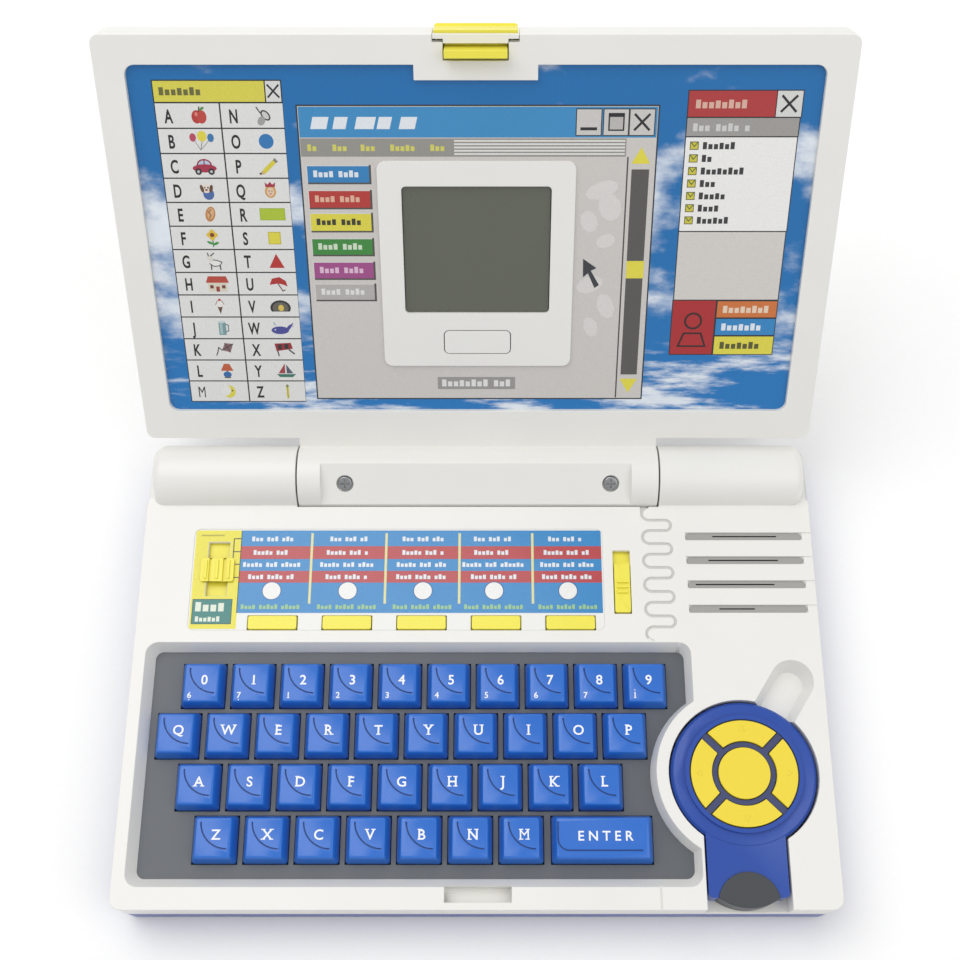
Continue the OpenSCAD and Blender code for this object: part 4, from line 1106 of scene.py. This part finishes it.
class AddDeckControls(bpy.types.Operator):
    """The five mode buttons, the level slider and the power switch"""
    bl_idname = "toylaptop.deck_controls"
    bl_label = "Deck controls"

    def execute(self, context):
        yellow = moulded("abs_yellow_buttons", colours("buttons"), 0.3)
        for i in range(1, 6):
            moulded_copy(f"mode_button_{i}", f"mode_key_{i}", f"mode_{i}", [yellow])
        low, high = box_mm("level_slider")
        knob = moulded_copy("level_slider", "level_knob", "slider", [yellow], 0.00015)
        add_strip(knob, (low.x + 1.2, low.y - 13, low.z + 0.9), (high.x - 1.2, high.y + 15, low.z + 1.8))
        low, high = box_mm("power_switch")
        knob = moulded_copy("power_switch", "power_knob", "switch", [yellow], 0.00015)
        add_strip(knob, (low.x + 0.6, low.y - 4, low.z + 0.6), (high.x - 0.6, high.y + 9, low.z + 1.6))
        return {"FINISHED"}


def mouse_body(middle, reach):
    """The mouse's blue shell: its cross and ring are darker, and the nose's own solid is left out."""
    blue = moulded("abs_blue_mouse", colours("mouse"), 0.24, 0.35, 0.02)
    web = moulded("abs_dark_web", linear("39426E"), 0.4)

    def paint(corners):
        return int(all((c - middle).xy.length < reach and c.z > 21 for c in corners))

    low, high = box_mm("mouse_shell")
    x0, x1 = NOSE_X - NECK_HALF, NOSE_X + NECK_HALF
    front = ((x0, low.y - 1, low.z - 0.2), (x1, NECK_END, high.z + 1))
    over = ((x0, NECK_END - 0.2, NECK_TOP), (x1, NECK_END + 11.4, high.z + 1))
    bm = node_mesh("mouse_shell", (front, over), paint)
    rim = [e for e in bm.edges if e.calc_face_angle(0) > 0.6
           and all(v.co.z > 25 and (v.co - middle).xy.length > reach + 0.5 for v in e.verts)]
    bevel(bm, rim, 0.25, 2)
    piece("mouse_body", bm, "mouse", [blue, web], replaces=("mouse_shell",), degrees=20)


def mouse_nose():
    """The rubber lens at the mouse's front end, between two arcs."""
    rubber = moulded("moulded_rubber_nose", linear("3C4044"), 0.42, 0.5, 0.05)
    low = box_mm("mouse_shell")[0].z
    y, radius = NOSE_BACK
    bm = bmesh.new()
    place = Matrix.Translation((NOSE_X, y, (low + DECK_Z) / 2))
    bmesh.ops.create_cone(bm, cap_ends=True, segments=96, radius1=radius, radius2=radius,
                          depth=DECK_Z - low, matrix=place)
    y, radius = NOSE_FRONT
    for vert in bm.verts:
        if vert.co.y < NOSE_TIPS:
            across = max(-NOSE_HALF, min(NOSE_HALF, vert.co.x - NOSE_X))
            vert.co.x = NOSE_X + across
            vert.co.y = y - math.sqrt(radius ** 2 - across ** 2)
    bmesh.ops.remove_doubles(bm, verts=bm.verts, dist=0.2)
    bevel(bm, above(bm, DECK_Z - 0.1), 0.7)
    bmesh.ops.inset_individual(bm, faces=[highest(bm)], thickness=0.1)
    piece("mouse_nose", bm, "mouse", [rubber], degrees=30)


class AddMouse(bpy.types.Operator):
    """The mouse: its shell, the two yellow mouldings and the rubber nose"""
    bl_idname = "toylaptop.mouse"
    bl_label = "Mouse"

    def execute(self, context):
        low, high = box_mm("mouse_arrow_pad")
        middle = (low + high) / 2
        reach = (high.x - low.x) / 2
        mouse_body(middle, reach + 0.6)
        mouse_nose()
        yellow = moulded("abs_yellow_pad", colours("petals"), 0.3)
        bm = node_mesh("mouse_arrow_pad")
        for quarter in range(4):
            place = Matrix.Translation((middle.x, middle.y, high.z))
            place = place @ Matrix.Rotation(quarter * math.pi / 2, 4, "Z")
            place = place @ Matrix.Translation((reach - 3.2, 0, 0)) @ Matrix.Rotation(-math.pi / 2, 4, "Z")
            arrow = bmesh.new()
            bmesh.ops.create_cone(arrow, cap_ends=True, segments=3, radius1=1.5, radius2=1.3, depth=0.24,
                                  matrix=place)
            merge(bm, arrow)
        made = piece("arrow_pad", bm, "arrow_pad", [yellow], replaces=("mouse_arrow_pad",))
        round_edges(made, sizes("part_edge"))
        moulded_copy("mouse_ok_button", "middle_button", "ok_button", [yellow])
        return {"FINISHED"}


class AddLidShells(bpy.types.Operator):
    """The bezel, the cover behind it and the contrast button"""
    bl_idname = "toylaptop.lid_shells"
    bl_label = "Lid shells"

    def execute(self, context):
        white = moulded("abs_white_lid", colours("shell"), 0.34)
        edge = sizes("shell_edge")
        moulded_copy("lid_front_shell", "bezel_shell", "lid", [white], edge)
        moulded_copy("lid_back_shell", "cover_shell", "lid", [white], edge)
        moulded_copy("contrast_button", "contrast_key", "contrast", [white])
        return {"FINISHED"}


class AddDisplay(bpy.types.Operator):
    """The liquid crystal glass"""
    bl_idname = "toylaptop.display"
    bl_label = "Display"

    def execute(self, context):
        glass = moulded("lcd_glass", linear("62655A"), 0.3, 0.5, 0.002)
        moulded_copy("lcd_module", "lcd", "lid", [glass])
        return {"FINISHED"}


class AddBarrelScrews(bpy.types.Operator):
    """Two cross-head screws sunk in the flat of the lid's barrel"""
    bl_idname = "toylaptop.barrel_screws"
    bl_label = "Barrel screws"

    def execute(self, context):
        steel = plated_steel("zinc_plated_screw", "A9ABAD", 0.35)
        place = LID @ Matrix.Rotation(-FLAT_TILT, 4, "X")
        for x, name in ((-SCREW_X, "barrel_screw_left"), (SCREW_X, "barrel_screw_right")):
            bm = bmesh.new()
            bmesh.ops.create_cone(bm, cap_ends=True, segments=40, radius1=2.7, radius2=2.7, depth=1.4,
                                  matrix=Matrix.Translation((x, 0, FLAT_T - 0.9)))
            bevel(bm, above(bm, FLAT_T - 0.3), 0.5)
            for wide, deep in ((1.7, 0.32), (0.32, 1.7)):
                bm = cut(bm, block((x - wide, -deep, FLAT_T - 1.0), (x + wide, deep, FLAT_T + 1)))
            piece(name, bm, "lid", [steel], place, degrees=30)
        return {"FINISHED"}


class AddLatch(bpy.types.Operator):
    """The yellow latch, and the bar of the bezel in front of its tab"""
    bl_idname = "toylaptop.latch"
    bl_label = "Latch"

    def execute(self, context):
        yellow = moulded("abs_yellow_latch", colours("buttons"), 0.3)
        bm = node_mesh("lid_latch")
        bmesh.ops.transform(bm, matrix=LID.inverted() @ DECK, verts=bm.verts)
        for low, high in LATCH_TRIMS:
            bm = cut(bm, block(low, high))
        made = piece("latch_tab", bm, "latch", [yellow], LID, ("lid_latch",))
        round_edges(made, sizes("part_edge"))
        white = moulded("abs_white_bar", colours("shell"), 0.34)
        bar = bmesh.new()
        merge(bar, *(block(low, high) for low, high in LATCH_BARS))
        piece("latch_bar", bar, "lid", [white], LID)
        return {"FINISHED"}


STEPS = (AddStage, AddBaseShells, AddKeyboardPanel, AddSpeakerSlots, AddInsides, AddKeys, AddLabel,
         AddDeckControls, AddMouse, AddLidShells, AddPictureSheet, AddDisplay, AddBarrelScrews, AddLatch)


class TOYLAPTOP_PT_pieces(bpy.types.Panel):
    """Colours, sizes and a button for each group of pieces"""
    bl_idname = "TOYLAPTOP_PT_pieces"
    bl_label = "Toy Laptop"
    bl_space_type = "VIEW_3D"
    bl_region_type = "UI"
    bl_category = "Toy Laptop"

    def draw(self, context):
        for group in (context.scene.toy_laptop_colours, context.scene.toy_laptop_sizes):
            box = self.layout.box()
            for name in group.bl_rna.properties.keys():
                if name not in ("rna_type", "name"):
                    box.prop(group, name)
        for step in STEPS:
            self.layout.operator(step.bl_idname)


CLASSES = (ToyLaptopColours, ToyLaptopSizes, *STEPS, TOYLAPTOP_PT_pieces)


def register():
    for kind in CLASSES:
        bpy.utils.register_class(kind)
    bpy.types.Scene.toy_laptop_colours = PointerProperty(type=ToyLaptopColours)
    bpy.types.Scene.toy_laptop_sizes = PointerProperty(type=ToyLaptopSizes)


def unregister():
    del bpy.types.Scene.toy_laptop_sizes
    del bpy.types.Scene.toy_laptop_colours
    for kind in reversed(CLASSES):
        bpy.utils.unregister_class(kind)


def main():
    register()
    for step in STEPS:
        getattr(bpy.ops.toylaptop, step.bl_idname.split(".")[1])()


if __name__ == "__main__":
    main()
